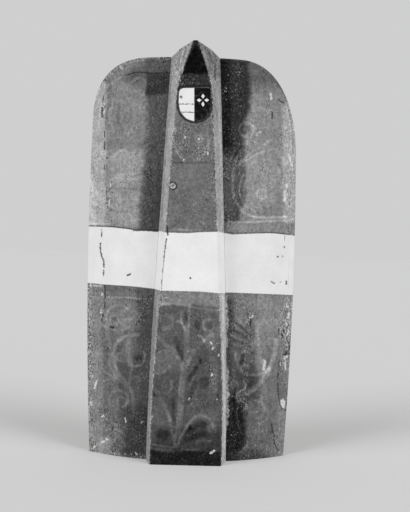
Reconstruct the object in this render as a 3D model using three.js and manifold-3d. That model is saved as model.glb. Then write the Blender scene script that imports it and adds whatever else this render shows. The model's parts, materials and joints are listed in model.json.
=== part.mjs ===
// Standing pavise: a tall wooden infantry shield, bent backwards at both sides, with a hollow
// ridge down the middle that ends in an overhanging beak. Boards carry a painted hide in front
// and a thin lining behind. The back has a wooden hand grip, a buckled shoulder strap in two
// halves, a hanging ring and a prop that folds into the hollow of the ridge.
// Millimetres, +Z up, the painted front faces -Y. The origin is the middle of the ridge board's foot.

import * as THREE from "three";
import { mergeVertices } from "three/addons/utils/BufferGeometryUtils.js";
import Module from "manifold-3d";

const wasm = await Module();
wasm.setup();

// Outline of the wings
const shieldHeight = 1113;
const waistHeight = 600;
const waistHalfWidth = 295;
const footHalfWidth = 277;
const shoulderStart = 120;
const leftShoulderDrop = 180;
const leftShoulderPower = 2.6;
const rightShoulderDrop = 280;
const rightShoulderPower = 2.3;
const bendRadius = 470;

// Ridge and beak
const ridgeDepth = 55;
const ridgeFootHalf = 111;
const ridgeTopHalf = 67;
const ridgeTaperStart = 200;
const ridgeTaperSoftShare = 0.3;
const faceFootHalf = 98;
const faceBeakHalf = 48;
const faceTaperStart = 165;
const faceTaperSoftShare = 0.07;
const beakLength = 103;
const tipRise = 20;
const tipHalf = 6;
const tipOverhang = 75;
const tipPower = 1.3;
const overhangPower = 2.1;
const beakSwell = 6;

// Layers, and the space that is left between neighbours
const hideThickness = 1.6;
const boardThickness = 10;
const ridgeBoardThickness = 9;
const cheekThickness = 8;
const liningThickness = 1.2;
const gap = 0.3;
const curvedGap = 0.6;
const overrun = 5;

// Widths of the outer board of each wing, measured at the waist
const leftOuterPlankWidth = 55;
const rightOuterPlankWidth = 35;

// Rawhide binding round the rim
const bindingThickness = 1.2;
const bindingWidth = 13;
const bindingLift = 0.5;

// Rivets, with square roves under their closed ends
const rivetShankRadius = 2.2;
const rivetHeadRadius = 6;
const rivetHeadHeight = 2.2;
const rivetEndRadius = 3.4;
const rivetEndHeight = 1.5;
const rivetDomeShares = [[0, 1], [0.55, 0.85], [0.9, 0.4], [1, 0]];
const rivetEndTaperShare = 0.7;
const nailHeadRadiusShare = 2.5;
const nailDomeShares = [[0, 0.5], [0.8, 0.3], [1, 0]];
const roveWidth = 13;
const roveThickness = 1.5;
const drillClearance = 0.4;

// Hand grip across the hollow
const gripDrop = 311;
const gripPadLap = 54;
const gripPadHalfHeight = 28;
const gripPadThickness = 12;
const gripHandHalfHeight = 14;
const gripHandDepth = 24;
const gripRivetSpread = 17.5;
const gripShoulderRun = 10;

// Prop bracket inside the ridge
const gripToPivot = 97;
const bracketHeight = 116;
const bracketPlate = 3;
const bracketSideClearance = 2;
const bracketRivetInset = 8;
const earThickness = 4;
const earRadius = 13;
const earPlay = 0.5;
const pinRadius = 4;
const pinClearance = 0.4;
const pinHeadRadius = 7;
const pinHeadHeight = 3;

// Prop
const propSwingDegrees = 35;
const propWidth = 34;
const propDepth = 28;
const propFootWidth = 27;
const propFootDepth = 23;
const propChamfer = 6;
const propHeelClearance = 0.8;
const propFloorClearance = 12;
const shoeWall = 2.2;
const shoePointLength = 38;
const shoeSleeve = 45;
const shoePointRadius = 2;
const shoeNailRadius = 1.5;
const shoeNailLength = 12;

// Turn button that keeps the prop in the hollow
const buttonHeight = 150;
const buttonInset = 22;
const buttonLength = 136;
const buttonHalfWidth = 9;
const buttonThickness = 7;
const buttonPlay = 4;
const buttonNailDepth = 7;

// Hanging ring and its staple
const stapleDrop = 60;
const stapleWire = 2.5;
const stapleReach = 9;
const stapleDepth = 20;
const ringRadius = 24;
const ringWire = 3;
const ringPlay = 0.5;

// Shoulder strap in two halves
const strapRivetX = 200;
const strapRivetDrop = 103;
const strapWidth = 30;
const strapThickness = 3;
const strapTab = 20;
const strapStandOff = 5;
const strapEaseLength = 110;
const billetLength = 450;
const billetPoint = 26;
const billetHoleRadius = 2.5;
const billetHoleSpacing = 32;
const billetHoles = 5;
const buckleDrop = 300;
const foldLength = 52;
const buckleBar = 5;
const buckleWindow = 24;
const buckleWidth = 46;
const tongueWidth = 4.5;
const tongueThickness = 2.6;
const tonguePlay = 0.4;
const tongueSlotClearance = 1.5;
const tongueSlotReach = 22;
const loopThickness = 2;
const loopHeight = 11;
const loopRise = 28;
const loopSlack = 3.6;

// How finely curved surfaces are divided
const wingRows = 16;
const wingColumns = 12;
const ridgeSteps = 10;
const beakSteps = 6;
const roundSides = 10;
const strapSteps = 10;
const seatSteps = 4;
const stapleSteps = 24;
const stapleSides = 4;
const ringSides = 8;
const ringSteps = 28;
const meetingTurns = 4;
const weldTolerance = 1e-3;
const quarterArcShare = 0.5523;
const sampleStep = 0.5;

const X = new THREE.Vector3(1, 0, 0);
const Y = new THREE.Vector3(0, 1, 0);
const Z = new THREE.Vector3(0, 0, 1);
const lerp = THREE.MathUtils.lerp;
const radians = THREE.MathUtils.degToRad;

// Heights and depths that follow from the sizes above
const beakHeight = shieldHeight - beakLength;
const tipHeight = shieldHeight + tipRise;
const gripHeight = shieldHeight - gripDrop;
const frontY = -(hideThickness + gap + ridgeBoardThickness / 2);
const boardFrontY = frontY + hideThickness + gap;
const hollowY = boardFrontY + ridgeBoardThickness;
const apexY = frontY + ridgeDepth - bend(ridgeFootHalf);
const pivotHeight = gripHeight - gripToPivot;
const leftBoardJoint = waistHalfWidth - leftOuterPlankWidth;
const rightBoardJoint = waistHalfWidth - rightOuterPlankWidth;

/** Depth of the wings' bend at x: an upright cylinder that touches the middle of the shield. */
function bend(x) {
  return bendRadius - Math.sqrt(bendRadius ** 2 - x ** 2);
}

/** Angle by which the wing's surface is turned at x. */
function bendAngle(x) {
  return Math.asin(x / bendRadius);
}

/** Front of the painted hide, of the boards and of the lining, and the lining's back, at x. */
const skinY = (x) => apexY + bend(x);
const woodY = (x) => skinY(x) + hideThickness + gap;
const liningY = (x) => woodY(x) + boardThickness + gap;
const backY = (x) => liningY(x) + liningThickness;
const stackThickness = hideThickness + gap + boardThickness + gap + liningThickness;

/** Share of a taper at height z: 0 at the foot, a soft bend at its start, then straight to 1 at its top. */
function taper(z, start, top, softShare) {
  const bent = (t) => t + Math.sqrt(t ** 2 + softShare ** 2);
  const along = (height) => bent((height - start) / (top - start));
  return (along(z) - along(0)) / (along(top) - along(0));
}

/** Half-widths of the ridge at its root and of its front face, at height z. */
function ridgeHalf(z) {
  return lerp(ridgeFootHalf, ridgeTopHalf, taper(z, ridgeTaperStart, shieldHeight, ridgeTaperSoftShare));
}
function faceHalf(z) {
  return lerp(faceFootHalf, faceBeakHalf, taper(z, faceTaperStart, beakHeight, faceTaperSoftShare));
}

/** How far the ridge's side leans outwards for each millimetre of depth, at height z. */
function flankLean(z) {
  return (ridgeHalf(z) - faceHalf(z)) / (skinY(ridgeHalf(z)) - frontY);
}

/** x of the ridge's side at height z and depth y, moved inwards by inset. */
function flankX(z, y, inset) {
  const lean = flankLean(z);
  return faceHalf(z) + lean * (y - frontY) - inset * Math.sqrt(1 + lean ** 2);
}

/** Where the ridge's side, moved inwards by inset, meets the front of the wing boards. */
function seatOnWood(z, inset) {
  let x = ridgeHalf(z);
  for (let turn = 0; turn < meetingTurns; turn += 1) x = flankX(Math.min(z, beakHeight), woodY(x) - gap, inset);
  return new THREE.Vector2(x - Math.max(0, ridgeHalf(Math.min(z, beakHeight)) - ridgeHalf(z)), z);
}

/** Inner edges, as x and z, of a wing's boards and of its hide. */
const boardEdge = (z) => seatOnWood(z, hideThickness + gap + cheekThickness);
const hideEdge = (z) => new THREE.Vector2(seatOnWood(z, 0).x + gap, z);

/** Half-width of the hollow between the cheeks at height z and depth y. */
const hollowHalf = (z, y) => flankX(z, y, hideThickness + gap + cheekThickness);

// Meshes from points

/** Turns the faces outwards if the enclosed volume comes out negative. */
function facesOut(points, triangles) {
  const volume = triangles.reduce((sum, [a, b, c]) => {
    return sum + points[a].dot(new THREE.Vector3().crossVectors(points[b], points[c]));
  }, 0);
  const wound = volume < 0 ? triangles.map(([a, b, c]) => [a, c, b]) : triangles;
  return new THREE.BufferGeometry().setFromPoints(points).setIndex(wound.flat());
}

/** A closed sheet between two equal grids of points. */
function sheet(front, back) {
  const rows = front.length;
  const columns = front[0].length;
  const at = (layer, i, j) => (layer * rows + i) * columns + j;
  const triangles = [];
  const quad = (a, b, c, d) => triangles.push([a, b, c], [a, c, d]);
  for (let i = 0; i < rows - 1; i += 1) {
    for (let j = 0; j < columns - 1; j += 1) {
      quad(at(0, i, j), at(0, i, j + 1), at(0, i + 1, j + 1), at(0, i + 1, j));
      quad(at(1, i, j), at(1, i + 1, j), at(1, i + 1, j + 1), at(1, i, j + 1));
    }
    quad(at(0, i, 0), at(0, i + 1, 0), at(1, i + 1, 0), at(1, i, 0));
    quad(at(0, i + 1, columns - 1), at(0, i, columns - 1), at(1, i, columns - 1), at(1, i + 1, columns - 1));
  }
  for (let j = 0; j < columns - 1; j += 1) {
    quad(at(0, 0, j + 1), at(0, 0, j), at(1, 0, j), at(1, 0, j + 1));
    quad(at(0, rows - 1, j), at(0, rows - 1, j + 1), at(1, rows - 1, j + 1), at(1, rows - 1, j));
  }
  return facesOut([...front.flat(), ...back.flat()], triangles);
}

/** Triangles that close a ring of points, found on the plane that it faces most. */
function capTriangles(ring) {
  const normal = new THREE.Vector3();
  ring.forEach((p, i) => normal.add(new THREE.Vector3().crossVectors(p, ring[(i + 1) % ring.length])));
  const size = [Math.abs(normal.x), Math.abs(normal.y), Math.abs(normal.z)];
  const drop = size.indexOf(Math.max(...size));
  const kept = ["x", "y", "z"].filter((_, i) => i !== drop);
  const flat = ring.map((p) => new THREE.Vector2(p[kept[0]], p[kept[1]]));
  const clockwise = THREE.ShapeUtils.isClockWise(flat);
  const order = ring.map((_, i) => (clockwise ? ring.length - 1 - i : i));
  const turned = order.map((i) => flat[i]);
  const caps = THREE.ShapeUtils.triangulateShape(turned, []).map((t) => t.map((i) => order[i]));
  return clockwise ? caps.map(([a, b, c]) => [a, c, b]) : caps;
}

/** A closed body through a row of equal rings, whose four-sided faces are split the shorter way. */
function loft(rings) {
  const count = rings[0].length;
  const triangles = [];
  for (let i = 0; i < rings.length - 1; i += 1) {
    for (let j = 0; j < count; j += 1) {
      const k = (j + 1) % count;
      const [a, b, c, d] = [i * count + j, i * count + k, (i + 1) * count + k, (i + 1) * count + j];
      const rising = rings[i][j].distanceTo(rings[i + 1][k]);
      const falling = rings[i][k].distanceTo(rings[i + 1][j]);
      if (rising < falling) triangles.push([a, b, c], [a, c, d]);
      else triangles.push([a, b, d], [b, c, d]);
    }
  }
  const last = (rings.length - 1) * count;
  const caps = capTriangles(rings[0]);
  caps.forEach(([a, b, c]) => triangles.push([a, c, b], [a + last, b + last, c + last]));
  return facesOut(rings.flat(), triangles);
}

/** An extruded outline whose x and y become the axes u and v, centred on its own thickness. */
function slab(outline, thickness, u, v) {
  const geometry = new THREE.ExtrudeGeometry(outline, {
    depth: thickness,
    bevelEnabled: false,
    curveSegments: roundSides,
  });
  geometry.translate(0, 0, -thickness / 2);
  return geometry.applyMatrix4(new THREE.Matrix4().makeBasis(u, v, new THREE.Vector3().crossVectors(u, v)));
}

/** A turned piece about the Y axis, from pairs of radius and height. */
function turned(pairs, sides = roundSides) {
  return new THREE.LatheGeometry(pairs.map(([r, h]) => new THREE.Vector2(r, h)), sides);
}

// Cutting and joining

function solidOf(geometry) {
  const bare = geometry.clone();
  bare.deleteAttribute("normal");
  bare.deleteAttribute("uv");
  const merged = mergeVertices(bare, weldTolerance);
  const made = new wasm.Manifold(
    new wasm.Mesh({
      numProp: 3,
      vertProperties: merged.attributes.position.array,
      triVerts: new Uint32Array(merged.index.array),
    }),
  );
  return made;
}

function geometryOf(solid) {
  const { vertProperties, triVerts } = solid.getMesh();
  return new THREE.BufferGeometry()
    .setAttribute("position", new THREE.BufferAttribute(new Float32Array(vertProperties), 3))
    .setIndex(new THREE.BufferAttribute(new Uint32Array(triVerts), 1));
}

function cut(geometry, tools) {
  return geometryOf(tools.reduce((solid, tool) => solid.subtract(solidOf(tool)), solidOf(geometry)));
}

function join(geometry, others) {
  return geometryOf(others.reduce((solid, other) => solid.add(solidOf(other)), solidOf(geometry)));
}

function common(a, b) {
  return geometryOf(solidOf(a).intersect(solidOf(b)));
}

// Materials

const paint = { roughness: 0.7, metalness: 0 };
const materials = {
  paintedHide: new THREE.MeshStandardMaterial({ color: "#6e6e6e", ...paint }),
  ridgeHide: new THREE.MeshStandardMaterial({ color: "#7a7a7a", ...paint }),
  binding: new THREE.MeshStandardMaterial({ color: "#8a8884", ...paint }),
  board: new THREE.MeshStandardMaterial({ color: "#8d7a63", ...paint }),
  lining: new THREE.MeshStandardMaterial({ color: "#5b4a3a", ...paint }),
  ash: new THREE.MeshStandardMaterial({ color: "#9a8569", ...paint }),
  leather: new THREE.MeshStandardMaterial({ color: "#4a382a", roughness: 0.6, metalness: 0 }),
  iron: new THREE.MeshStandardMaterial({ color: "#3f3d3b", roughness: 0.55, metalness: 0.9 }),
};

const pavise = new THREE.Group();

function addMesh(name, geometry, material, parent = pavise) {
  const mesh = new THREE.Mesh(geometry, materials[material]);
  mesh.name = name;
  parent.add(mesh);
  return mesh;
}

// Wings

/** Half-width of the shield at height z, below the rounded shoulder. */
function sideHalf(z) {
  return waistHalfWidth - (waistHalfWidth - footHalfWidth) * ((z - waistHeight) / waistHeight) ** 2;
}

/** Where a wing's rounded shoulder begins. */
function shoulderHeight(side) {
  return shieldHeight - (side < 0 ? leftShoulderDrop : rightShoulderDrop);
}

/** Point of a wing's rounded shoulder: angle 0 is its side, a quarter turn its top. */
function shoulderPoint(side, angle) {
  const start = shoulderHeight(side);
  const power = side < 0 ? leftShoulderPower : rightShoulderPower;
  const run = sideHalf(start) - shoulderStart;
  return new THREE.Vector2(
    shoulderStart + run * Math.cos(angle) ** (2 / power),
    start + (shieldHeight - start) * Math.sin(angle) ** (2 / power),
  );
}

const shoulderRowsShare = 0.25;
const levelTopShare = 0.14;

/** The wing's outer edge, from its foot at 0 to the middle of the shoulder at 1. */
function outerEdge(side, v) {
  const straight = 1 - shoulderRowsShare;
  if (v > straight) return shoulderPoint(side, (Math.PI / 4) * ((v - straight) / shoulderRowsShare));
  const z = shoulderHeight(side) * (v / straight);
  return new THREE.Vector2(sideHalf(z), z);
}

/** The wing's top edge, from the ridge at 0 to the middle of the shoulder at 1. */
function topEdge(side, u) {
  const curved = (u - levelTopShare) / (1 - levelTopShare);
  if (curved > 0) return shoulderPoint(side, (Math.PI / 2) * (1 - curved / 2));
  return new THREE.Vector2(lerp(hideEdge(shieldHeight).x, shoulderStart, u / levelTopShare), shieldHeight);
}

/** A point of a wing, as x and z, blended from its four edges. */
function wingPoint(side, u, v) {
  const inner = hideEdge(shieldHeight * v);
  const outer = outerEdge(side, v);
  const top = topEdge(side, u);
  const corner = outerEdge(side, 1);
  const footX = lerp(hideEdge(0).x, footHalfWidth, u);
  const cornerX = lerp(footX, lerp(hideEdge(shieldHeight).x, corner.x, u), v);
  const cornerZ = v * lerp(shieldHeight, corner.y, u);
  return new THREE.Vector2(
    lerp(inner.x, outer.x, u) + lerp(footX, top.x, v) - cornerX,
    lerp(inner.y, outer.y, u) + v * top.y - cornerZ,
  );
}

/** Rows of points over a wing. Boards and linings reach further in, under the ridge's cheek. */
function wingGrid(side, reachesUnderCheek) {
  return Array.from({ length: wingRows + 1 }, (_, i) => {
    const v = i / wingRows;
    const row = Array.from({ length: wingColumns + 1 }, (_unused, j) => wingPoint(side, j / wingColumns, v));
    return reachesUnderCheek ? [boardEdge(shieldHeight * v), ...row] : row;
  });
}

/** A bent layer of one wing. Side is 1 for the right wing and -1 for the left. */
function wingLayer(side, depthAt, thickness, reachesUnderCheek) {
  const grid = wingGrid(side, reachesUnderCheek);
  const place = (shift) => {
    return grid.map((row) => row.map((p) => new THREE.Vector3(side * p.x, depthAt(p.x) + shift, p.y)));
  };
  return sheet(place(0), place(thickness));
}

/** A tool that removes everything between x = from and x = to. */
function upright(from, to) {
  const box = new THREE.BoxGeometry(Math.abs(to - from), 2 * bendRadius, 4 * shieldHeight);
  return box.translate((from + to) / 2, 0, 0);
}

/** A drill along the wing's own normal at (x, z), or straight back through the ridge. */
function drill(x, y, z, angle, radius, reach) {
  const tool = new THREE.CylinderGeometry(radius, radius, 2 * reach, roundSides);
  return tool.rotateZ(angle).translate(x, y, z);
}

const shankHole = rivetShankRadius + drillClearance;
const gripRivetX = boardEdge(gripHeight).x + gripPadLap / 2;
const strapRivetHeight = shieldHeight - strapRivetDrop;
const buttonX = boardEdge(buttonHeight).x + buttonInset;

/** Everything that is drilled through a wing. */
function wingDrills(side) {
  const drillAt = (x, z) => {
    return drill(side * x, skinY(x), z, side * bendAngle(x), shankHole, 2 * stackThickness + gripHandDepth);
  };
  return [
    drillAt(gripRivetX, gripHeight + gripRivetSpread),
    drillAt(gripRivetX, gripHeight - gripRivetSpread),
    drillAt(strapRivetX, strapRivetHeight),
  ];
}

function buildWing(side, name, jointX) {
  const drills = wingDrills(side);
  addMesh(name + "_wing_hide", cut(wingLayer(side, skinY, hideThickness, false), drills), "paintedHide");
  const boards = cut(wingLayer(side, woodY, boardThickness, true), drills);
  const lining = cut(wingLayer(side, liningY, liningThickness, true), drills);
  const nailed = side < 0 ? [buttonNailDrill()] : [];
  const outside = upright(side * (jointX - gap / 2), side * 2 * waistHalfWidth);
  const inside = upright(side * -waistHalfWidth, side * (jointX + gap / 2));
  addMesh(name + "_inner_board", cut(boards, [outside, ...nailed]), "board");
  addMesh(name + "_outer_board", cut(boards, [inside]), "board");
  addMesh(name + "_lining", cut(lining, nailed), "lining");
}

/** The binding: a channel folded round the rim from beside the ridge to the foot. */
function buildBinding(side, name) {
  const level = Array.from({ length: wingColumns }, (_, j) => topEdge(side, (j + 1) / wingColumns));
  const start = hideEdge(shieldHeight).clone().add(new THREE.Vector2(gap, 0));
  const down = Array.from({ length: wingRows }, (_, i) => outerEdge(side, 1 - (i + 1) / wingRows));
  const rim = [start, ...level, ...down];
  rim[rim.length - 1] = new THREE.Vector2(footHalfWidth, bindingLift);
  const rings = rim.map((edge, i) => {
    const before = rim[Math.max(i - 1, 0)];
    const after = rim[Math.min(i + 1, rim.length - 1)];
    const along = after.clone().sub(before).normalize();
    if (i === 0) along.set(1, 0);
    if (i === rim.length - 1) along.set(0, -1);
    const inward = new THREE.Vector2(along.y, -along.x).multiplyScalar(Math.sign(along.x - along.y) || 1);
    return bindingRing(side, edge, inward);
  });
  addMesh(name + "_rim_binding", loft(rings), "binding");
}

/** One section of the binding: a U that opens inwards. */
function bindingRing(side, edge, inward) {
  const at = (distance, y) => {
    const p = edge.clone().addScaledVector(inward, distance);
    return new THREE.Vector3(side * p.x, y(p.x), p.y);
  };
  const front = (shift) => (x) => skinY(Math.max(x, 0)) - curvedGap - shift;
  const back = (shift) => (x) => backY(Math.max(x, 0)) + curvedGap + shift;
  const fold = -(gap + bindingThickness);
  return [
    at(bindingWidth, front(bindingThickness)),
    at(fold, front(bindingThickness)),
    at(fold, back(bindingThickness)),
    at(bindingWidth, back(bindingThickness)),
    at(bindingWidth, back(0)),
    at(-gap, back(0)),
    at(-gap, front(0)),
    at(bindingWidth, front(0)),
  ];
}

// Ridge

/** Corner points of the ridge's right side at row height z: root, swell in the middle, and edge of the face. */
function ridgeCorners(z) {
  const beak = Math.max(0, (z - beakHeight) / beakLength);
  const rootX = ridgeHalf(z);
  const root = new THREE.Vector3(rootX, skinY(rootX), z);
  const straight = faceHalf(Math.min(z, beakHeight));
  const edge = new THREE.Vector3(
    beak > 0 ? lerp(straight, tipHalf, beak ** tipPower) : straight,
    frontY - tipOverhang * beak ** overhangPower,
    z + (tipHeight - shieldHeight) * beak,
  );
  const outwards = new THREE.Vector3().subVectors(root, edge).cross(Z).normalize();
  if (outwards.x < 0) outwards.negate();
  const middle = root.clone().lerp(edge, 0.5).addScaledVector(outwards, beakSwell * beak);
  return [root, middle, edge];
}

/** Shift that moves a corner inwards by inset from both of the surfaces that meet there. */
function cornerShift(normalA, normalB, along, inset) {
  const rows = new THREE.Matrix3().set(
    normalA.x, normalA.y, normalA.z,
    normalB.x, normalB.y, normalB.z,
    along.x, along.y, along.z,
  );
  return new THREE.Vector3(-inset, -inset, 0).applyMatrix3(rows.invert());
}

/** The right side's corners at row height z, moved inwards by inset, with the root carried to the wing boards. */
function insetCorners(z, inset) {
  const low = ridgeCorners(Math.max(0, z - sampleStep));
  const high = ridgeCorners(Math.min(shieldHeight, z + sampleStep));
  const [root, middle, edge] = ridgeCorners(z);
  const along = high.map((p, i) => p.clone().sub(low[i]).normalize());
  const normal = (a, b, tangent) => {
    const n = new THREE.Vector3().subVectors(b, a).cross(tangent).normalize();
    return n.x < 0 ? n.negate() : n;
  };
  const lower = normal(root, middle, along[0]);
  const upper = normal(middle, edge, along[2]);
  const face = new THREE.Vector3().crossVectors(X, along[2]).normalize();
  if (face.y > 0) face.negate();
  const newEdge = edge.clone().add(cornerShift(upper, face, along[2], inset));
  const bent = lower.distanceTo(upper) > weldTolerance;
  const newMiddle = middle.clone();
  if (bent) newMiddle.add(cornerShift(lower, upper, along[1], inset));
  else newMiddle.addScaledVector(lower, -inset);
  const newRoot = root.clone().add(cornerShift(lower, new THREE.Vector3(0, 1, 0), along[0], 0));
  newRoot.x -= inset / lower.x;
  const slope = newRoot.clone().sub(newMiddle).normalize();
  for (let turn = 0; turn < meetingTurns; turn += 1) {
    newRoot.addScaledVector(slope, (woodY(newRoot.x) - gap - newRoot.y) / slope.y);
  }
  return [newRoot, newMiddle, newEdge];
}

const mirrored = (points) => points.map((p) => new THREE.Vector3(-p.x, p.y, p.z)).reverse();

/** Row heights of the ridge below the beak, and of the beak. */
const ridgeRows = Array.from({ length: ridgeSteps + 1 }, (_, i) => (beakHeight * i) / ridgeSteps);
const beakRows = Array.from({ length: beakSteps + 1 }, (_, i) => beakHeight + (beakLength * i) / beakSteps);

/** The hide over the ridge: one folded sheet from the foot to the beak's tip. */
function ridgeHide(drills) {
  const rings = [...ridgeRows, ...beakRows.slice(1)].map((z) => {
    const outer = insetCorners(z, 0);
    const inner = insetCorners(z, hideThickness);
    return [...outer, ...mirrored(outer), ...mirrored(inner).reverse(), ...inner.slice().reverse()];
  });
  return cut(loft(rings), drills);
}

/** The board under the ridge's face. */
function ridgeBoard(drills) {
  const rings = ridgeRows.map((row) => {
    const z = Math.min(row, beakHeight - gap / 2);
    const half = (y) => flankX(z, y, hideThickness + gap);
    const corners = [
      new THREE.Vector3(half(boardFrontY), boardFrontY, z),
      new THREE.Vector3(half(hollowY), hollowY, z),
    ];
    return [...corners, ...mirrored(corners)];
  });
  return cut(loft(rings), drills);
}

/** One cheek of the ridge, between its face board and a wing's boards. */
function cheek(side) {
  const rings = ridgeRows.map((row) => {
    const z = Math.min(row, beakHeight - gap / 2);
    const outer = hideThickness + curvedGap;
    const inner = hideThickness + gap + cheekThickness;
    const y = hollowY + gap;
    const outerSeat = seatOnWood(z, outer).x;
    const innerSeat = seatOnWood(z, inner).x;
    return [
      new THREE.Vector3(side * flankX(z, y, outer), y, z),
      new THREE.Vector3(side * outerSeat, woodY(outerSeat) - gap, z),
      new THREE.Vector3(side * innerSeat, woodY(innerSeat) - gap, z),
      new THREE.Vector3(side * flankX(z, y, inner), y, z),
    ];
  });
  return loft(rings);
}

const blockBackY = backY(boardEdge(shieldHeight).x);

/** The carved block of the beak, which fills the hollow's top and lies over the wing boards. */
function beakBlock(drills) {
  const rings = beakRows.map((z, i) => {
    const [root, middle, edge] = insetCorners(z, hideThickness + curvedGap);
    const plugX = boardEdge(z).x - gap;
    const half = [
      edge,
      middle,
      root,
      new THREE.Vector3(plugX, woodY(plugX) - gap, root.z),
      new THREE.Vector3(plugX, blockBackY, root.z),
    ];
    if (i === 0) half.forEach((p) => p.setZ(beakHeight + gap / 2));
    return [...half, ...mirrored(half)];
  });
  return cut(loft(rings), drills);
}

// Rivets and nails

/** A rivet along +Y: domed head in front, closed end behind the stack that it holds. */
function rivet(grip) {
  return turned([
    ...rivetDomeShares.map(([across, up]) => [rivetHeadRadius * across, -gap - rivetHeadHeight * up]),
    [rivetShankRadius, -gap],
    [rivetShankRadius, grip + gap],
    [rivetEndRadius, grip + gap],
    [rivetEndRadius * rivetEndTaperShare, grip + gap + rivetEndHeight],
    [0, grip + gap + rivetEndHeight],
  ]);
}

/** A square rove with its hole, lying across Y from 0 to its thickness. */
function rove() {
  const half = roveWidth / 2;
  const outline = new THREE.Shape([
    new THREE.Vector2(-half, -half),
    new THREE.Vector2(half, -half),
    new THREE.Vector2(half, half),
    new THREE.Vector2(-half, half),
  ]);
  outline.holes.push(new THREE.Path().absarc(0, 0, shankHole, 0, 2 * Math.PI, true));
  return slab(outline, roveThickness, Z, X).translate(0, roveThickness / 2, 0);
}

/** A rivet and its rove on a wing, square to its surface, through what lies behind the lining. */
function addWingRivet(name, side, x, z, heldThickness) {
  const angle = bendAngle(x);
  const fixing = new THREE.Group();
  fixing.position.set(side * x, skinY(x), z);
  fixing.rotation.z = side * angle;
  const held = stackThickness * Math.cos(angle) + heldThickness;
  addMesh(name + "_rivet", rivet(held + roveThickness + gap), "iron", fixing);
  addMesh(name + "_rove", rove(), "iron", fixing).position.y = held + gap;
  pavise.add(fixing);
}

/** A short nail along +Y, with its head in front and its point in the wood. */
function nail(radius, headRadius, length) {
  return turned([
    ...nailDomeShares.map(([across, up]) => [headRadius * across, -headRadius * up]),
    [radius, 0],
    [radius, length - 2 * radius],
    [0, length],
  ]);
}

// Hand grip

/** The grip: a wooden bar whose spread ends lie on the linings beside the hollow. */
function gripBar() {
  const inner = boardEdge(gripHeight).x;
  const end = inner + gripPadLap;
  const seat = Array.from({ length: seatSteps + 1 }, (_, i) => {
    const x = lerp(end, inner, i / seatSteps);
    return new THREE.Vector2(x, backY(x) + curvedGap);
  });
  const handY = seat[seatSteps].y + gripHandDepth;
  const padBack = seat.map((p) => new THREE.Vector2(p.x, p.y + gripPadThickness)).reverse();
  const rise = [new THREE.Vector2(inner - gripShoulderRun, handY), ...padBack];
  const flip = (points) => points.map((p) => new THREE.Vector2(-p.x, p.y)).reverse();
  const plan = new THREE.Shape([...seat, ...flip(seat), ...flip(rise), ...rise]);
  const face = new THREE.Shape();
  face.moveTo(-end, -gripPadHalfHeight);
  face.lineTo(-inner, -gripPadHalfHeight);
  face.quadraticCurveTo(-inner + gripShoulderRun, -gripHandHalfHeight, -inner + 2 * gripShoulderRun, -gripHandHalfHeight);
  face.lineTo(inner - 2 * gripShoulderRun, -gripHandHalfHeight);
  face.quadraticCurveTo(inner - gripShoulderRun, -gripHandHalfHeight, inner, -gripPadHalfHeight);
  face.lineTo(end, -gripPadHalfHeight);
  face.lineTo(end, gripPadHalfHeight);
  face.lineTo(inner, gripPadHalfHeight);
  face.quadraticCurveTo(inner - gripShoulderRun, gripHandHalfHeight, inner - 2 * gripShoulderRun, gripHandHalfHeight);
  face.lineTo(-inner + 2 * gripShoulderRun, gripHandHalfHeight);
  face.quadraticCurveTo(-inner + gripShoulderRun, gripHandHalfHeight, -inner, gripPadHalfHeight);
  face.lineTo(-end, gripPadHalfHeight);
  const planBody = slab(plan, 2 * gripPadHalfHeight, X, Y);
  const faceBody = slab(face, 2 * bendRadius, X, Z);
  return common(planBody, faceBody).translate(0, 0, gripHeight);
}

function buildGrip() {
  addMesh("grip_bar", cut(gripBar(), [...wingDrills(1), ...wingDrills(-1)]), "ash");
  const held = (curvedGap + gripPadThickness) * Math.cos(bendAngle(gripRivetX));
  for (const [side, name] of [[-1, "left"], [1, "right"]]) {
    addWingRivet(`grip_${name}_upper`, side, gripRivetX, gripHeight + gripRivetSpread, held);
    addWingRivet(`grip_${name}_lower`, side, gripRivetX, gripHeight - gripRivetSpread, held);
  }
}

// Turn button

const buttonFrontY = backY(buttonX + buttonHalfWidth) + curvedGap;
const nailRadius = rivetShankRadius;

function buttonNailDrill() {
  const length = 2 * (boardThickness + liningThickness);
  const tool = new THREE.CylinderGeometry(shankHole, shankHole, length, roundSides);
  return tool.translate(-buttonX, buttonFrontY - buttonNailDepth - overrun + length / 2, buttonHeight);
}

/** The turn button hangs beside the hollow and swings across it behind the prop. */
function buildTurnButton() {
  const outline = new THREE.Shape();
  const arm = buttonLength - 2 * buttonHalfWidth;
  outline.absarc(0, 0, buttonHalfWidth, 0, Math.PI, false);
  outline.lineTo(-buttonHalfWidth, -arm);
  outline.absarc(0, -arm, buttonHalfWidth, Math.PI, 2 * Math.PI, false);
  outline.holes.push(new THREE.Path().absarc(0, 0, nailRadius + drillClearance, 0, 2 * Math.PI, true));
  const plate = slab(outline, buttonThickness, X, Z);
  const button = addMesh("turn_button", plate, "ash");
  button.position.set(-buttonX, buttonFrontY + buttonThickness / 2, buttonHeight);
  const pin = nail(nailRadius, nailHeadRadiusShare * nailRadius, buttonThickness + 2 * gap + buttonNailDepth);
  const mesh = addMesh("turn_button_nail", pin, "iron");
  mesh.position.set(-buttonX, buttonFrontY + buttonThickness + gap, buttonHeight);
  mesh.rotation.x = Math.PI;
}

// Prop and its bracket

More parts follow.
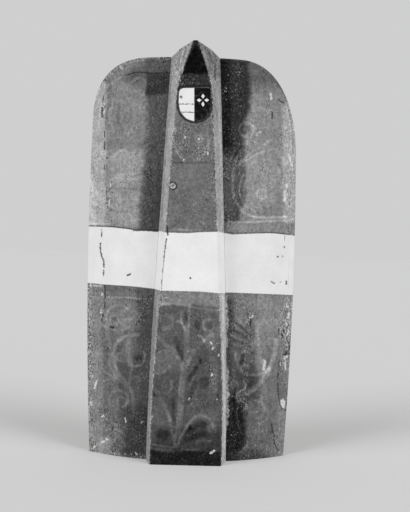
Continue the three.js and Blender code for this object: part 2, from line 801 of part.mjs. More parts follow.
const propBackY = buttonFrontY - buttonPlay;
const pivotY = propBackY - propDepth / 2;
const plateY = hollowY + gap;
const plateBackY = plateY + bracketPlate;
const plateHalf = hollowHalf(pivotHeight + bracketHeight / 2, plateBackY) - bracketSideClearance;
const bracketRivetX = plateHalf - bracketRivetInset;
const bracketRivetZ = bracketHeight / 2 - bracketRivetInset;
const bracketRivets = [
  ["upper_left", -bracketRivetX, pivotHeight + bracketRivetZ],
  ["upper_right", bracketRivetX, pivotHeight + bracketRivetZ],
  ["lower_left", -bracketRivetX, pivotHeight - bracketRivetZ],
  ["lower_right", bracketRivetX, pivotHeight - bracketRivetZ],
];
const faceDrills = bracketRivets.map(([, x, z]) => drill(x, frontY, z, 0, shankHole, ridgeDepth));

/** The bracket: a riveted plate with two ears that carry the prop's pin. */
function buildBracket() {
  const plate = new THREE.BoxGeometry(2 * plateHalf, bracketPlate, bracketHeight);
  plate.translate(0, plateY + bracketPlate / 2, pivotHeight);
  const ear = new THREE.Shape();
  const root = plateY + bracketPlate / 2;
  ear.moveTo(root, -2 * earRadius);
  ear.lineTo(pivotY, -earRadius);
  ear.absarc(pivotY, 0, earRadius, -Math.PI / 2, Math.PI / 2, false);
  ear.lineTo(root, 2 * earRadius);
  const earX = propWidth / 2 + earPlay + earThickness / 2;
  const ears = [-earX, earX].map((x) => slab(ear, earThickness, Y, Z).translate(x, 0, pivotHeight));
  const pinBore = pivotBore(4 * earX);
  addMesh("prop_bracket", cut(join(plate, ears), [pinBore, ...faceDrills]), "iron");
  const held = hideThickness + gap + ridgeBoardThickness + gap + bracketPlate;
  bracketRivets.forEach(([name, x, z]) => {
    addMesh(`bracket_${name}_rivet`, rivet(held), "iron").position.set(x, frontY, z);
  });
  const reach = earX + earThickness / 2 + gap;
  const pin = turned([
    [0, -reach - pinHeadHeight],
    [pinHeadRadius, -reach - pinHeadHeight],
    [pinHeadRadius, -reach],
    [pinRadius, -reach],
    [pinRadius, reach],
    [pinHeadRadius, reach],
    [pinHeadRadius, reach + pinHeadHeight],
    [0, reach + pinHeadHeight],
  ]);
  const mesh = addMesh("prop_pin", pin, "iron");
  mesh.position.set(0, pivotY, pivotHeight);
  mesh.rotation.z = Math.PI / 2;
}

function pivotBore(length) {
  const bore = new THREE.CylinderGeometry(pinRadius + pinClearance, pinRadius + pinClearance, length, 2 * roundSides);
  return bore.rotateZ(Math.PI / 2).translate(0, pivotY, pivotHeight);
}

/** An eight-sided section about the prop's axis. */
function propRing(width, depth, z, chamfer) {
  const [w, d] = [width / 2, depth / 2];
  return [
    [w - chamfer, -d], [w, -d + chamfer], [w, d - chamfer], [w - chamfer, d],
    [chamfer - w, d], [-w, d - chamfer], [-w, -d + chamfer], [chamfer - w, -d],
  ].map(([x, y]) => new THREE.Vector3(x, pivotY + y, z));
}

/** The prop: an ash leg with an iron shoe, hinged on the bracket's pin. */
function buildProp() {
  const swing = radians(propSwingDegrees);
  const room = pivotY - plateBackY - propHeelClearance - (propDepth / 2) * Math.cos(swing);
  const heel = room / Math.sin(swing);
  const foot = propFloorClearance + shoePointLength;
  const sleeveTop = foot + shoeSleeve;
  const leg = loft([
    propRing(propFootWidth, propFootDepth, foot, propChamfer),
    propRing(propFootWidth, propFootDepth, sleeveTop + gap, propChamfer),
    propRing(propWidth, propDepth, sleeveTop + gap + shoeSleeve, propChamfer),
    propRing(propWidth, propDepth, pivotHeight + heel, propChamfer),
  ]);
  const nailZ = foot + shoeSleeve / 2;
  const nailTool = new THREE.CylinderGeometry(shoeNailRadius + drillClearance, shoeNailRadius + drillClearance,
    2 * (shoeNailLength + overrun), roundSides);
  const shoeBackY = pivotY + propFootDepth / 2 + gap + shoeWall;
  nailTool.translate(0, shoeBackY + gap, nailZ);
  addMesh("prop_leg", cut(leg, [pivotBore(2 * propWidth), nailTool]), "ash");
  const outerWidth = propFootWidth + 2 * (gap + shoeWall);
  const outerDepth = propFootDepth + 2 * (gap + shoeWall);
  const shell = loft([
    propRing(2 * shoePointRadius, 2 * shoePointRadius, propFloorClearance, shoePointRadius / 2),
    propRing(outerWidth, outerDepth, foot - gap, propChamfer),
    propRing(outerWidth, outerDepth, sleeveTop, propChamfer),
  ]);
  const socket = loft([
    propRing(propFootWidth + 2 * gap, propFootDepth + 2 * gap, foot - gap, propChamfer),
    propRing(propFootWidth + 2 * gap, propFootDepth + 2 * gap, sleeveTop + overrun, propChamfer),
  ]);
  addMesh("prop_shoe", cut(shell, [socket, nailTool]), "iron");
  const pin = addMesh("prop_shoe_nail", nail(shoeNailRadius, nailHeadRadiusShare * shoeNailRadius, shoeNailLength), "iron");
  pin.position.set(0, shoeBackY + gap, nailZ);
  pin.rotation.x = Math.PI;
}

// Hanging ring

const stapleHeight = shieldHeight - stapleDrop;
const eyeRadius = ringWire + ringPlay + stapleWire;
const eyeY = blockBackY + stapleReach;

function stapleDrills() {
  return [-eyeRadius, eyeRadius].map((z) => {
    const tool = new THREE.CylinderGeometry(stapleWire + drillClearance, stapleWire + drillClearance,
      2 * stapleDepth, roundSides);
    return tool.translate(0, blockBackY + gap, stapleHeight + z);
  });
}

/** A wire bent into a U, driven into the beak block, and the ring that hangs in it. */
function buildRing() {
  const legEnd = blockBackY + gap + drillClearance - stapleDepth;
  const path = new THREE.CurvePath();
  const at = (y, z) => new THREE.Vector3(0, y, stapleHeight + z);
  path.add(new THREE.LineCurve3(at(legEnd, -eyeRadius), at(eyeY, -eyeRadius)));
  const bow = quarterArcShare * eyeRadius;
  path.add(new THREE.CubicBezierCurve3(at(eyeY, -eyeRadius), at(eyeY + bow, -eyeRadius),
    at(eyeY + eyeRadius, -bow), at(eyeY + eyeRadius, 0)));
  path.add(new THREE.CubicBezierCurve3(at(eyeY + eyeRadius, 0), at(eyeY + eyeRadius, bow),
    at(eyeY + bow, eyeRadius), at(eyeY, eyeRadius)));
  path.add(new THREE.LineCurve3(at(eyeY, eyeRadius), at(legEnd, eyeRadius)));
  const section = new THREE.Shape().absarc(0, 0, stapleWire, 0, 2 * Math.PI, false);
  const staple = new THREE.ExtrudeGeometry(section, { steps: stapleSteps, extrudePath: path, curveSegments: stapleSides });
  addMesh("ring_staple", staple, "iron");
  const ring = addMesh("hanging_ring", new THREE.TorusGeometry(ringRadius, ringWire, ringSides, ringSteps), "iron");
  ring.position.set(0, eyeY, stapleHeight - ringRadius);
  ring.rotation.x = Math.PI / 2;
}

// Shoulder strap. Both halves are modelled with x across the strap, y away from the shield and z up.

/** A group that stands on the lining's back at the strap's rivet. */
function strapFrame(side) {
  const frame = new THREE.Group();
  const angle = bendAngle(strapRivetX);
  const depth = stackThickness * Math.cos(angle);
  frame.position.set(
    side * (strapRivetX - depth * Math.sin(angle)),
    skinY(strapRivetX) + depth * Math.cos(angle),
    strapRivetHeight,
  );
  frame.rotation.z = side * angle;
  pavise.add(frame);
  return frame;
}

/** Distance of the strap's near face from the lining, at a drop below its rivet. */
function standOff(drop) {
  const eased = THREE.MathUtils.smoothstep(drop, strapTab, strapEaseLength);
  return curvedGap + strapStandOff * eased;
}

/** Points down one face of a strap to a given drop. */
function strapFace(length, shift) {
  return Array.from({ length: strapSteps + 1 }, (_, i) => {
    const drop = lerp(-strapTab, length, i / strapSteps);
    return new THREE.Vector2(standOff(drop) + shift, -drop);
  });
}

const strapHole = () => {
  const tool = new THREE.CylinderGeometry(shankHole, shankHole, 2 * strapStandOff + 2 * strapThickness, roundSides);
  return tool.translate(0, strapThickness, 0);
};

function buildBillet() {
  const frame = strapFrame(1);
  const side = new THREE.Shape([...strapFace(billetLength, 0), ...strapFace(billetLength, strapThickness).reverse()]);
  const body = slab(side, strapWidth, Y, Z);
  const half = strapWidth / 2 + gap;
  const face = new THREE.Shape();
  face.moveTo(-half, strapTab + overrun);
  face.lineTo(-half, billetPoint - billetLength);
  face.quadraticCurveTo(-half, (billetPoint - 2 * billetLength) / 2, 0, -billetLength);
  face.quadraticCurveTo(half, (billetPoint - 2 * billetLength) / 2, half, billetPoint - billetLength);
  face.lineTo(half, strapTab + overrun);
  const pointed = common(body, slab(face, 4 * (strapStandOff + strapThickness), X, Z));
  const holes = Array.from({ length: billetHoles }, (_, i) => {
    const tool = new THREE.CylinderGeometry(billetHoleRadius, billetHoleRadius,
      4 * (strapStandOff + strapThickness), roundSides);
    return tool.translate(0, 0, 2 * billetPoint - billetLength + i * billetHoleSpacing);
  });
  addMesh("billet_strap", cut(pointed, [strapHole(), ...holes]), "leather", frame);
}

const barReach = (buckleBar / 2) * Math.SQRT2;
const foldBore = barReach + tonguePlay;
const barY = curvedGap + strapStandOff + strapThickness + foldBore;

function buildBuckleStrap() {
  const frame = strapFrame(-1);
  const outer = foldBore + strapThickness;
  const doubled = curvedGap + strapStandOff + 2 * strapThickness;
  const side = new THREE.Shape(strapFace(buckleDrop, 0));
  side.absarc(barY, -buckleDrop, outer, Math.PI, 2 * Math.PI, false);
  side.lineTo(barY + outer, -buckleDrop + foldBore);
  side.lineTo(doubled, -buckleDrop + foldLength / 2);
  side.lineTo(doubled, -buckleDrop + foldLength);
  const rest = strapFace(buckleDrop, strapThickness).filter((p) => p.y > -buckleDrop + foldLength).reverse();
  side.lineTo(doubled - strapThickness, -buckleDrop + foldLength);
  rest.forEach((p) => side.lineTo(p.x, p.y));
  side.holes.push(new THREE.Path().absarc(barY, -buckleDrop, foldBore, 0, 2 * Math.PI, true));
  const body = slab(side, strapWidth, Y, Z);
  const slotWidth = tongueWidth + 2 * tongueSlotClearance;
  const slot = new THREE.BoxGeometry(slotWidth, 4 * outer, 2 * tongueSlotReach);
  slot.translate(0, barY, -buckleDrop);
  addMesh("buckle_strap", cut(body, [strapHole(), slot]), "leather", frame);
  addBuckle(frame);
  addLoop(frame, doubled);
}

/** The buckle's frame, whose top bar lies in the strap's fold, and its tongue. */
function addBuckle(frame) {
  const half = buckleWidth / 2;
  const window = new THREE.Path();
  const outline = new THREE.Shape();
  const inner = half - buckleBar;
  const low = -buckleWindow - buckleBar;
  outline.moveTo(-half, buckleBar / 2);
  outline.lineTo(-half, low);
  outline.lineTo(half, low);
  outline.lineTo(half, buckleBar / 2);
  window.moveTo(-inner, -buckleBar / 2);
  window.lineTo(inner, -buckleBar / 2);
  window.lineTo(inner, low + buckleBar);
  window.lineTo(-inner, low + buckleBar);
  outline.holes.push(window);
  const ring = addMesh("buckle_frame", slab(outline, buckleBar, X, Z), "iron", frame);
  ring.position.set(0, barY, -buckleDrop);
  const eye = new THREE.Shape().absarc(0, 0, foldBore + tongueThickness, 0, 2 * Math.PI, false);
  eye.holes.push(new THREE.Path().absarc(0, 0, foldBore, 0, 2 * Math.PI, true));
  const arm = new THREE.Shape();
  const near = buckleBar / 2 + gap;
  arm.moveTo(foldBore + tongueThickness / 2, 0);
  arm.lineTo(foldBore + tongueThickness, 0);
  arm.lineTo(near + tongueThickness, low + buckleBar);
  arm.lineTo(near + tongueThickness, low - gap);
  arm.lineTo(near, low - gap);
  arm.lineTo(near, low + buckleBar);
  const tongue = join(slab(eye, tongueWidth, Y, Z), [slab(arm, tongueWidth, Y, Z)]);
  addMesh("buckle_tongue", tongue, "iron", frame).position.set(0, barY, -buckleDrop);
}

/** The leather loop that holds the billet's end above the buckle. */
function addLoop(frame, doubled) {
  const half = strapWidth / 2 + gap;
  const near = curvedGap + strapStandOff - gap;
  const far = doubled + loopSlack;
  const outline = new THREE.Shape();
  outline.moveTo(-half - loopThickness, near - loopThickness);
  outline.lineTo(half + loopThickness, near - loopThickness);
  outline.lineTo(half + loopThickness, far + loopThickness);
  outline.lineTo(-half - loopThickness, far + loopThickness);
  const opening = new THREE.Path();
  opening.moveTo(-half, near);
  opening.lineTo(-half, far);
  opening.lineTo(half, far);
  opening.lineTo(half, near);
  outline.holes.push(opening);
  const loop = addMesh("strap_loop", slab(outline, loopHeight, X, Y), "leather", frame);
  loop.position.z = -buckleDrop + loopRise + loopHeight / 2;
}

buildWing(-1, "left", leftBoardJoint);
buildWing(1, "right", rightBoardJoint);
buildBinding(-1, "left");
buildBinding(1, "right");
addMesh("ridge_hide", ridgeHide(faceDrills), "ridgeHide");
addMesh("ridge_board", ridgeBoard(faceDrills), "board");
addMesh("left_cheek", cheek(-1), "board");
addMesh("right_cheek", cheek(1), "board");
addMesh("beak_block", beakBlock(stapleDrills()), "board");
buildGrip();
buildBracket();
buildProp();
buildTurnButton();
buildRing();
buildBuckleStrap();
buildBillet();
addWingRivet("buckle_strap", -1, strapRivetX, strapRivetHeight, curvedGap + strapThickness);
addWingRivet("billet_strap", 1, strapRivetX, strapRivetHeight, curvedGap + strapThickness);

export default pavise;
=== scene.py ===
"""Looks of a standing pavise: a wooden shield under painted, gessoed hide, with its fittings behind.

The wings, the ridge and the rim are fine surfaces worked out from the shield's own sizes. Their paint
is laid out by distances, in the picture's pixels, from outlines and strokes that are listed by name.
Metres, +Z up, the painted front faces -Y.
"""

import json
import math
from functools import partial
from itertools import chain

import bmesh
import bpy
import numpy as np
from mathutils import Matrix, Vector


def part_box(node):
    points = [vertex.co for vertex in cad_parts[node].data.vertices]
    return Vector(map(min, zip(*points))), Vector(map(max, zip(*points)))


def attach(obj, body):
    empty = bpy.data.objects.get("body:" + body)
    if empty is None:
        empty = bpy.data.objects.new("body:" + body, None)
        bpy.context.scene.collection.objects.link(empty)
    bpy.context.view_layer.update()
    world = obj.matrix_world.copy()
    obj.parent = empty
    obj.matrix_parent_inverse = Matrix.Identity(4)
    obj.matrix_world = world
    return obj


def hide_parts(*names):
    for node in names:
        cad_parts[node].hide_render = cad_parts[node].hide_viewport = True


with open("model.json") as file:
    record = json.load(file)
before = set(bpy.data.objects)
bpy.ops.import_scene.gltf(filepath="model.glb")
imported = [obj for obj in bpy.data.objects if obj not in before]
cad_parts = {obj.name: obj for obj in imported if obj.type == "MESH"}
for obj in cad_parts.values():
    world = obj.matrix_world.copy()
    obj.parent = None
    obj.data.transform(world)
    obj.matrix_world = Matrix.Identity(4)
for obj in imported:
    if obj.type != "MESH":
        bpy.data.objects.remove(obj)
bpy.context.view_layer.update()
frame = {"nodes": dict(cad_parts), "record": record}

MM = 0.001
TINY = 1e-9
SIDES = {"left": -1, "right": 1}

UNIT_X = np.array([1.0, 0.0, 0.0])
UNIT_Y = np.array([0.0, 1.0, 0.0])
UNIT_Z = np.array([0.0, 0.0, 1.0])

# Outline of the wings
SHIELD_HEIGHT = 1113 * MM
WAIST_HEIGHT = 600 * MM
WAIST_HALF = 295 * MM
FOOT_HALF = 277 * MM
SHOULDER_START = 120 * MM
SHOULDER_DROP = {-1: 180 * MM, 1: 280 * MM}
SHOULDER_POWER = {-1: 2.6, 1: 2.3}
BEND_RADIUS = 470 * MM

# Shares of a wing's grid that its shoulder and its level top take
SHOULDER_SHARE = 0.25
LEVEL_SHARE = 0.25

# Ridge and beak
RIDGE_DEPTH = 55 * MM
RIDGE_FOOT_HALF = 111 * MM
RIDGE_TOP_HALF = 67 * MM
RIDGE_TAPER_START = 200 * MM
RIDGE_SOFT_SHARE = 0.3
FACE_FOOT_HALF = 98 * MM
FACE_BEAK_HALF = 48 * MM
FACE_TAPER_START = 165 * MM
FACE_SOFT_SHARE = 0.07
BEAK_LENGTH = 103 * MM
TIP_RISE = 20 * MM
TIP_HALF = 6 * MM
TIP_OVERHANG = 75 * MM
TIP_POWER = 1.3
OVERHANG_POWER = 2.1
BEAK_SWELL = 6 * MM

# Layers
HIDE = 1.6 * MM
BOARD = 10 * MM
RIDGE_BOARD = 9 * MM
CHEEK = 8 * MM
LINING = 1.2 * MM
GAP = 0.3 * MM
CURVED_GAP = 0.6 * MM
SEAM = 0.05 * MM
BINDING = 1.2 * MM
BINDING_WIDTH = 13 * MM
BINDING_LIFT = 0.5 * MM

BEAK_HEIGHT = SHIELD_HEIGHT - BEAK_LENGTH
FRONT_Y = -(HIDE + GAP + RIDGE_BOARD / 2)

# How often a place that depends on itself is found again from the last one
ROUNDS = 4

# Where a rounded outline's points are averaged, in shares of the corner's radius
CORNER_SPREAD = (-1, -0.5, 0, 0.5, 1)

# Edges sharper than this stay sharp, in degrees
SHARP_EDGE = 40


# Form of the shield


def bend(x):
    """Depth of the wings' bend at x: an upright cylinder that touches the middle of the shield."""
    return BEND_RADIUS - np.sqrt(BEND_RADIUS**2 - x**2)


APEX_Y = FRONT_Y + RIDGE_DEPTH - bend(RIDGE_FOOT_HALF)


def skin_y(x):
    """Front of the painted hide at x."""
    return APEX_Y + bend(x)


def wood_y(x):
    """Front of the boards at x."""
    return skin_y(x) + HIDE + GAP


def back_y(x):
    """Back of the lining at x."""
    return wood_y(x) + BOARD + GAP + LINING


def mix(a, b, t):
    """Straight blend from a to b."""
    return a + (b - a) * t


def smooth_share(t):
    """0 to 1 with level ends: 3 t^2 - 2 t^3."""
    t = np.clip(t, 0, 1)
    return t * t * (3 - 2 * t)


def taper(z, foot_half, top_half, start, top, soft):
    """Half-width at z: nearly even below a start, then narrowing evenly to the top.

    Its share is t + root(t^2 + soft^2), with t 0 at the start and 1 at the top, brought to 0 at the foot
    and 1 at the top.
    """
    def bent(height):
        t = (height - start) / (top - start)
        return t + np.sqrt(t**2 + soft**2)

    return mix(foot_half, top_half, (bent(z) - bent(0.0)) / (bent(top) - bent(0.0)))


def ridge_half(z):
    """Half-width of the ridge at its root."""
    return taper(z, RIDGE_FOOT_HALF, RIDGE_TOP_HALF, RIDGE_TAPER_START, SHIELD_HEIGHT, RIDGE_SOFT_SHARE)


def face_half(z):
    """Half-width of the ridge's front face."""
    return taper(z, FACE_FOOT_HALF, FACE_BEAK_HALF, FACE_TAPER_START, BEAK_HEIGHT, FACE_SOFT_SHARE)


def seat_on_wood(z, inset):
    """x where the ridge's side, moved inwards by inset, meets the boards, found again from the last x."""
    low = np.minimum(z, BEAK_HEIGHT)
    lean = (ridge_half(low) - face_half(low)) / (skin_y(ridge_half(low)) - FRONT_Y)
    x = ridge_half(z)
    for _ in range(ROUNDS):
        x = face_half(low) + lean * (wood_y(x) - GAP - FRONT_Y) - inset * np.sqrt(1 + lean**2)
    return x - np.maximum(0, ridge_half(low) - ridge_half(z))


def hide_edge(z):
    """x of a wing hide's inner edge, beside the ridge."""
    return seat_on_wood(z, 0.0) + SEAM


def board_edge(z):
    """x of the inner edge of a wing's boards, under the ridge's cheek."""
    return seat_on_wood(z, HIDE + GAP + CHEEK)


def side_half(z):
    """Half-width of the shield below its shoulders: a parabola that is widest at the waist."""
    return WAIST_HALF - (WAIST_HALF - FOOT_HALF) * ((z - WAIST_HEIGHT) / WAIST_HEIGHT) ** 2


def shoulder(side, angle):
    """x and z on a rounded shoulder, a superellipse: angle 0 is its side, a quarter turn its top."""
    start = SHIELD_HEIGHT - SHOULDER_DROP[side]
    power = 2 / SHOULDER_POWER[side]
    run = side_half(start) - SHOULDER_START
    x = SHOULDER_START + run * np.cos(angle) ** power
    return x, start + (SHIELD_HEIGHT - start) * np.sin(angle) ** power


def outer_edge(side, v):
    """x and z of a wing's outer edge, from its foot at v = 0 to the middle of the shoulder at 1."""
    straight = 1 - SHOULDER_SHARE
    z = (SHIELD_HEIGHT - SHOULDER_DROP[side]) * np.minimum(v / straight, 1)
    round_x, round_z = shoulder(side, math.pi / 4 * np.clip((v - straight) / SHOULDER_SHARE, 0, 1))
    return np.where(v > straight, round_x, side_half(z)), np.where(v > straight, round_z, z)


def top_edge(side, u):
    """x and z of a wing's top edge, from the ridge at u = 0 to the middle of the shoulder at 1."""
    curved = np.clip((u - LEVEL_SHARE) / (1 - LEVEL_SHARE), 0, 1)
    round_x, round_z = shoulder(side, math.pi / 2 * (1 - curved / 2))
    level_x = mix(hide_edge(SHIELD_HEIGHT), SHOULDER_START, np.minimum(u / LEVEL_SHARE, 1))
    return np.where(u > LEVEL_SHARE, round_x, level_x), np.where(u > LEVEL_SHARE, round_z, SHIELD_HEIGHT)


def wing_plan(side, rows, columns, under_cheek=False):
    """x and z over a wing, a Coons patch: both rulings between its edges, less the blend of its corners."""
    v = np.linspace(0, 1, rows)[:, None]
    u = np.linspace(0, 1, columns)[None, :]
    outer_x, outer_z = outer_edge(side, v)
    top_x, top_z = top_edge(side, u)
    corner_x, corner_z = outer_edge(side, np.array(1.0))
    foot_x = mix(hide_edge(0.0), FOOT_HALF, u)
    corners_x = mix(foot_x, mix(hide_edge(SHIELD_HEIGHT), corner_x, u), v)
    x = mix(hide_edge(SHIELD_HEIGHT * v), outer_x, u) + mix(foot_x, top_x, v) - corners_x
    z = mix(SHIELD_HEIGHT * v, outer_z, u) + v * top_z - v * mix(SHIELD_HEIGHT, corner_z, u)
    if under_cheek:
        inner = SHIELD_HEIGHT * v
        x = np.concatenate([board_edge(inner), x], axis=1)
        z = np.concatenate([inner, z], axis=1)
    return x, z


def unit(vectors):
    """The same directions with length 1."""
    return vectors / np.linalg.norm(vectors, axis=-1, keepdims=True)


def ridge_corners(z):
    """Corners of the ridge's section at row heights z: root, middle of the side, face's edge, and back."""
    beak = np.clip((z - BEAK_HEIGHT) / BEAK_LENGTH, 0, 1)
    root_x = ridge_half(z)
    root = np.stack([root_x, skin_y(root_x), z], -1)
    edge_x = mix(face_half(np.minimum(z, BEAK_HEIGHT)), TIP_HALF, beak**TIP_POWER)
    edge = np.stack([edge_x, FRONT_Y - TIP_OVERHANG * beak**OVERHANG_POWER, z + TIP_RISE * beak], -1)
    out = np.stack([root[:, 1] - edge[:, 1], edge[:, 0] - root[:, 0], 0 * z], -1)
    middle = mix(root, edge, 0.5) + unit(out) * (BEAK_SWELL * beak)[:, None]
    slope = root - middle
    for _ in range(ROUNDS):
        short = wood_y(root[:, 0]) - GAP - root[:, 1]
        root = root + slope * (short / slope[:, 1])[:, None]
    right = np.stack([root, middle, edge], 1)
    left = right[:, ::-1] * np.array([-1, 1, 1])
    return np.concatenate([right, left], 1)


def along_corners(corners, counts, radius):
    """Points along rows of straight-sided outlines, evenly over each side, with the corners rounded.

    A point at length s is the mean of five points within a radius of it along the outline:
    p(s) = first corner + sum over sides of clip((s - start) / length, 0, 1) * side.
    """
    sides = np.diff(corners, axis=1)
    length = np.linalg.norm(sides, axis=2)
    start = np.concatenate([0 * length[:, :1], np.cumsum(length, axis=1)], axis=1)
    steps = [
        start[:, [k]] + length[:, [k]] * np.linspace(0, 1, count, endpoint=False)
        for k, count in enumerate(counts)
    ]
    s = np.concatenate([*steps, start[:, -1:]], axis=1)
    reach = np.minimum(radius, np.minimum(s, start[:, -1:] - s))
    total = 0
    for shift in CORNER_SPREAD:
        at = s + shift * reach
        share = np.clip((at[:, :, None] - start[:, None, :-1]) / length[:, None, :], 0, 1)
        total = total + np.einsum("rck,rkd->rcd", share, sides)
    return corners[:, :1] + total / len(CORNER_SPREAD), s


def normals(points):
    """Unit normals of a grid of points, from its slopes along rows and columns."""
    across = np.cross(np.gradient(points, axis=1), np.gradient(points, axis=0))
    return unit(across)


# Meshes from grids of points


def random_waves(seed, count, shortest, longest):
    """An uneven surface, about -1 to 1: the sum of plane sine waves of seeded lengths and directions."""
    rng = np.random.default_rng(seed)
    angle = rng.uniform(0, math.pi, count)
    length = rng.uniform(shortest, longest, count)
    phase = rng.uniform(0, 2 * math.pi, count)

    def height(x, z):
        total = np.zeros(np.broadcast(x, z).shape)
        for a, l, p in zip(angle, length, phase):
            total += np.sin(2 * math.pi * (x * math.cos(a) + z * math.sin(a)) / l + p)
        return np.tanh(total / math.sqrt(count))

    return height


def quads(first, second, third, fourth):
    """Four equal arrays of indices as a list of four-sided faces."""
    return np.stack([first, second, third, fourth], -1).reshape(-1, 4)


def sheet_faces(rows, columns):
    """Faces of a closed sheet between two equal grids, the second numbered after the first."""
    front = np.arange(rows * columns).reshape(rows, columns)
    back = front + rows * columns
    rim = np.concatenate([front[0, :], front[1:, -1], front[-1, -2::-1], front[-2:0:-1, 0]])
    nxt = np.roll(rim, -1)
    return np.concatenate([
        quads(front[:-1, :-1], front[:-1, 1:], front[1:, 1:], front[1:, :-1]),
        quads(back[:-1, :-1], back[1:, :-1], back[1:, 1:], back[:-1, 1:]),
        quads(rim, rim + rows * columns, nxt + rows * columns, nxt),
    ])


def tube_faces(rings, sides):
    """Faces of a skin through closed rings of equal length."""
    at = np.arange(rings * sides).reshape(rings, sides)
    nxt = np.roll(at, -1, axis=1)
    return quads(at[:-1], nxt[:-1], nxt[1:], at[1:])


def encloses(points, faces):
    """Six times the volume inside some four-sided faces, negative where they face inwards."""
    a, b, c, d = (points[faces[:, i]] for i in range(4))
    return np.einsum("ij,ij->", a, np.cross(b, c)) + np.einsum("ij,ij->", a, np.cross(c, d))


def link(name, data):
    """Puts a new object of some data into the scene."""
    made = bpy.data.objects.new(name, data)
    bpy.context.scene.collection.objects.link(made)
    return made


def smooth_mesh(mesh, sharp, materials):
    """Smooth shading but for edges sharper than an angle in degrees, and a mesh's only materials."""
    mesh.shade_smooth()
    mesh.set_sharp_from_angle(angle=math.radians(sharp))
    mesh.materials.clear()
    for material in materials:
        mesh.materials.append(material)


def ride(piece, body, replaces):
    """Sets a piece on its body and the CAD nodes that it replaces."""
    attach(piece, body)
    if replaces:
        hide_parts(*replaces)
    return piece


def add_piece(name, points, faces, materials, slot, body="shield", replaces=(), values=None,
              sharp=SHARP_EDGE, pick=None):
    """Makes a mesh piece at the origin.

    Values are numbers for its points, which its paint reads, and pick is the number of each face's
    material where it has several.
    """
    mesh = bpy.data.meshes.new(name)
    mesh.from_pydata(points.tolist(), [], faces)
    for label, numbers in (values or {}).items():
        layer = mesh.attributes.new(label, "FLOAT", "POINT")
        full = np.zeros(len(points), np.float32)
        full[:len(numbers)] = numbers
        layer.data.foreach_set("value", full)
    smooth_mesh(mesh, sharp, materials)
    if pick is not None:
        mesh.polygons.foreach_set("material_index", pick)
    return ride(link(name, mesh), body, replaces)


def add_sheet(name, front, back, material, slot, **facts):
    """A closed sheet between two grids of points."""
    points = np.concatenate([front.reshape(-1, 3), back.reshape(-1, 3)])
    faces = sheet_faces(*front.shape[:2])
    if encloses(points, faces) < 0:
        faces = faces[:, ::-1]
    return add_piece(name, points, faces.tolist(), [material], slot, **facts)


def add_rings(name, rings, materials, slot, closed=False, **facts):
    """A body through rings of points: joined where closed, or else with one flat face at each end."""
    count, sides = rings.shape[:2]
    points = rings.reshape(-1, 3)
    faces = tube_faces(count, sides)
    first = np.arange(sides)
    last = first + (count - 1) * sides
    if closed:
        faces = np.concatenate([faces, quads(last, np.roll(last, -1), np.roll(first, -1), first)])
    lists = faces.tolist()
    if not closed:
        lists += [first.tolist()[::-1], last.tolist()]
    if encloses(points, faces) < 0:
        lists = [face[::-1] for face in lists]
    return add_piece(name, points, lists, materials, slot, **facts)


# Camera of the picture

PICTURE_WIDTH = 410
PICTURE_HEIGHT = 512
CAMERA_PLACE = np.array([25.1 * MM, -2331 * MM, 619.8 * MM])
CAMERA_YAW = 0.0059
CAMERA_PITCH = -0.021
CAMERA_ROLL = 0.0254
FOCAL_PIXELS = 859.1
SENSOR = 36.0
FARTHEST = 100.0


def camera_axes():
    """Right, up and forward: yaw about +Z, then pitch about the level axis, then roll about forward."""
    yaw, pitch, roll = CAMERA_YAW, CAMERA_PITCH, CAMERA_ROLL
    forward = np.array([math.cos(pitch) * math.sin(yaw), math.cos(pitch) * math.cos(yaw), math.sin(pitch)])
    level = np.array([math.cos(yaw), -math.sin(yaw), 0.0])
    upright = np.cross(level, forward)
    right = math.cos(roll) * level + math.sin(roll) * upright
    up = -math.sin(roll) * level + math.cos(roll) * upright
    return right, up, forward


def picture_place(points):
    """Pixel x and y at which points appear in the picture."""
    right, up, forward = camera_axes()
    ray = points - CAMERA_PLACE
    depth = ray @ forward
    x = PICTURE_WIDTH / 2 + FOCAL_PIXELS * (ray @ right) / depth
    y = PICTURE_HEIGHT / 2 - FOCAL_PIXELS * (ray @ up) / depth
    return np.stack([x, y], -1)


def add_camera():
    """The camera at the picture's place, turned as camera_axes says."""
    right, up, forward = camera_axes()
    data = bpy.data.cameras.new("picture_camera")
    data.sensor_width = SENSOR
    data.lens = FOCAL_PIXELS / PICTURE_HEIGHT * SENSOR
    data.clip_end = FARTHEST
    camera = link("picture_camera", data)
    turn = np.eye(4)
    turn[:3, 0], turn[:3, 1], turn[:3, 2], turn[:3, 3] = right, up, -forward, CAMERA_PLACE
    camera.matrix_world = Matrix(turn.tolist())
    bpy.context.scene.camera = camera


# Nodes and stage

MATH = "ShaderNodeMath"
FLOOR_HALF = 30.0
FLOOR_HEX = "#bbbbbb"
ROOM_HEX = "#cfcfcf"
SKY_LIGHT = 0.66
SUN_SOFTNESS = math.radians(30)

# Suns: azimuth from the front and elevation in degrees, power, and whether it casts shadows
SUNS = {
    "left_sun": (-52, 35, 1.62, True),
    "right_sun": (52, 35, 1.55, True),
    "back_sun": (165, 50, 1.15, False),
}


def colour(text):
    """Linear colour from an sRGB hex value, by the sRGB standard's own curve."""
    part = np.array([int(text[i:i + 2], 16) / 255 for i in (1, 3, 5)])
    linear = np.where(part <= 0.04045, part / 12.92, ((part + 0.055) / 1.055) ** 2.4)
    return (*linear.tolist(), 1.0)


def add_node(tree, kind, inputs=None, out=0, **settings):
    """Adds a node and gives one output: settings are its own, inputs take values or other nodes' outputs."""
    made = tree.nodes.new(kind)
    for key, value in settings.items():
        setattr(made, key, value)
    for key, value in (inputs or {}).items():
        if isinstance(value, bpy.types.NodeSocket):
            tree.links.new(value, made.inputs[key])
        else:
            made.inputs[key].default_value = value
    return made.outputs[out] if made.outputs else None


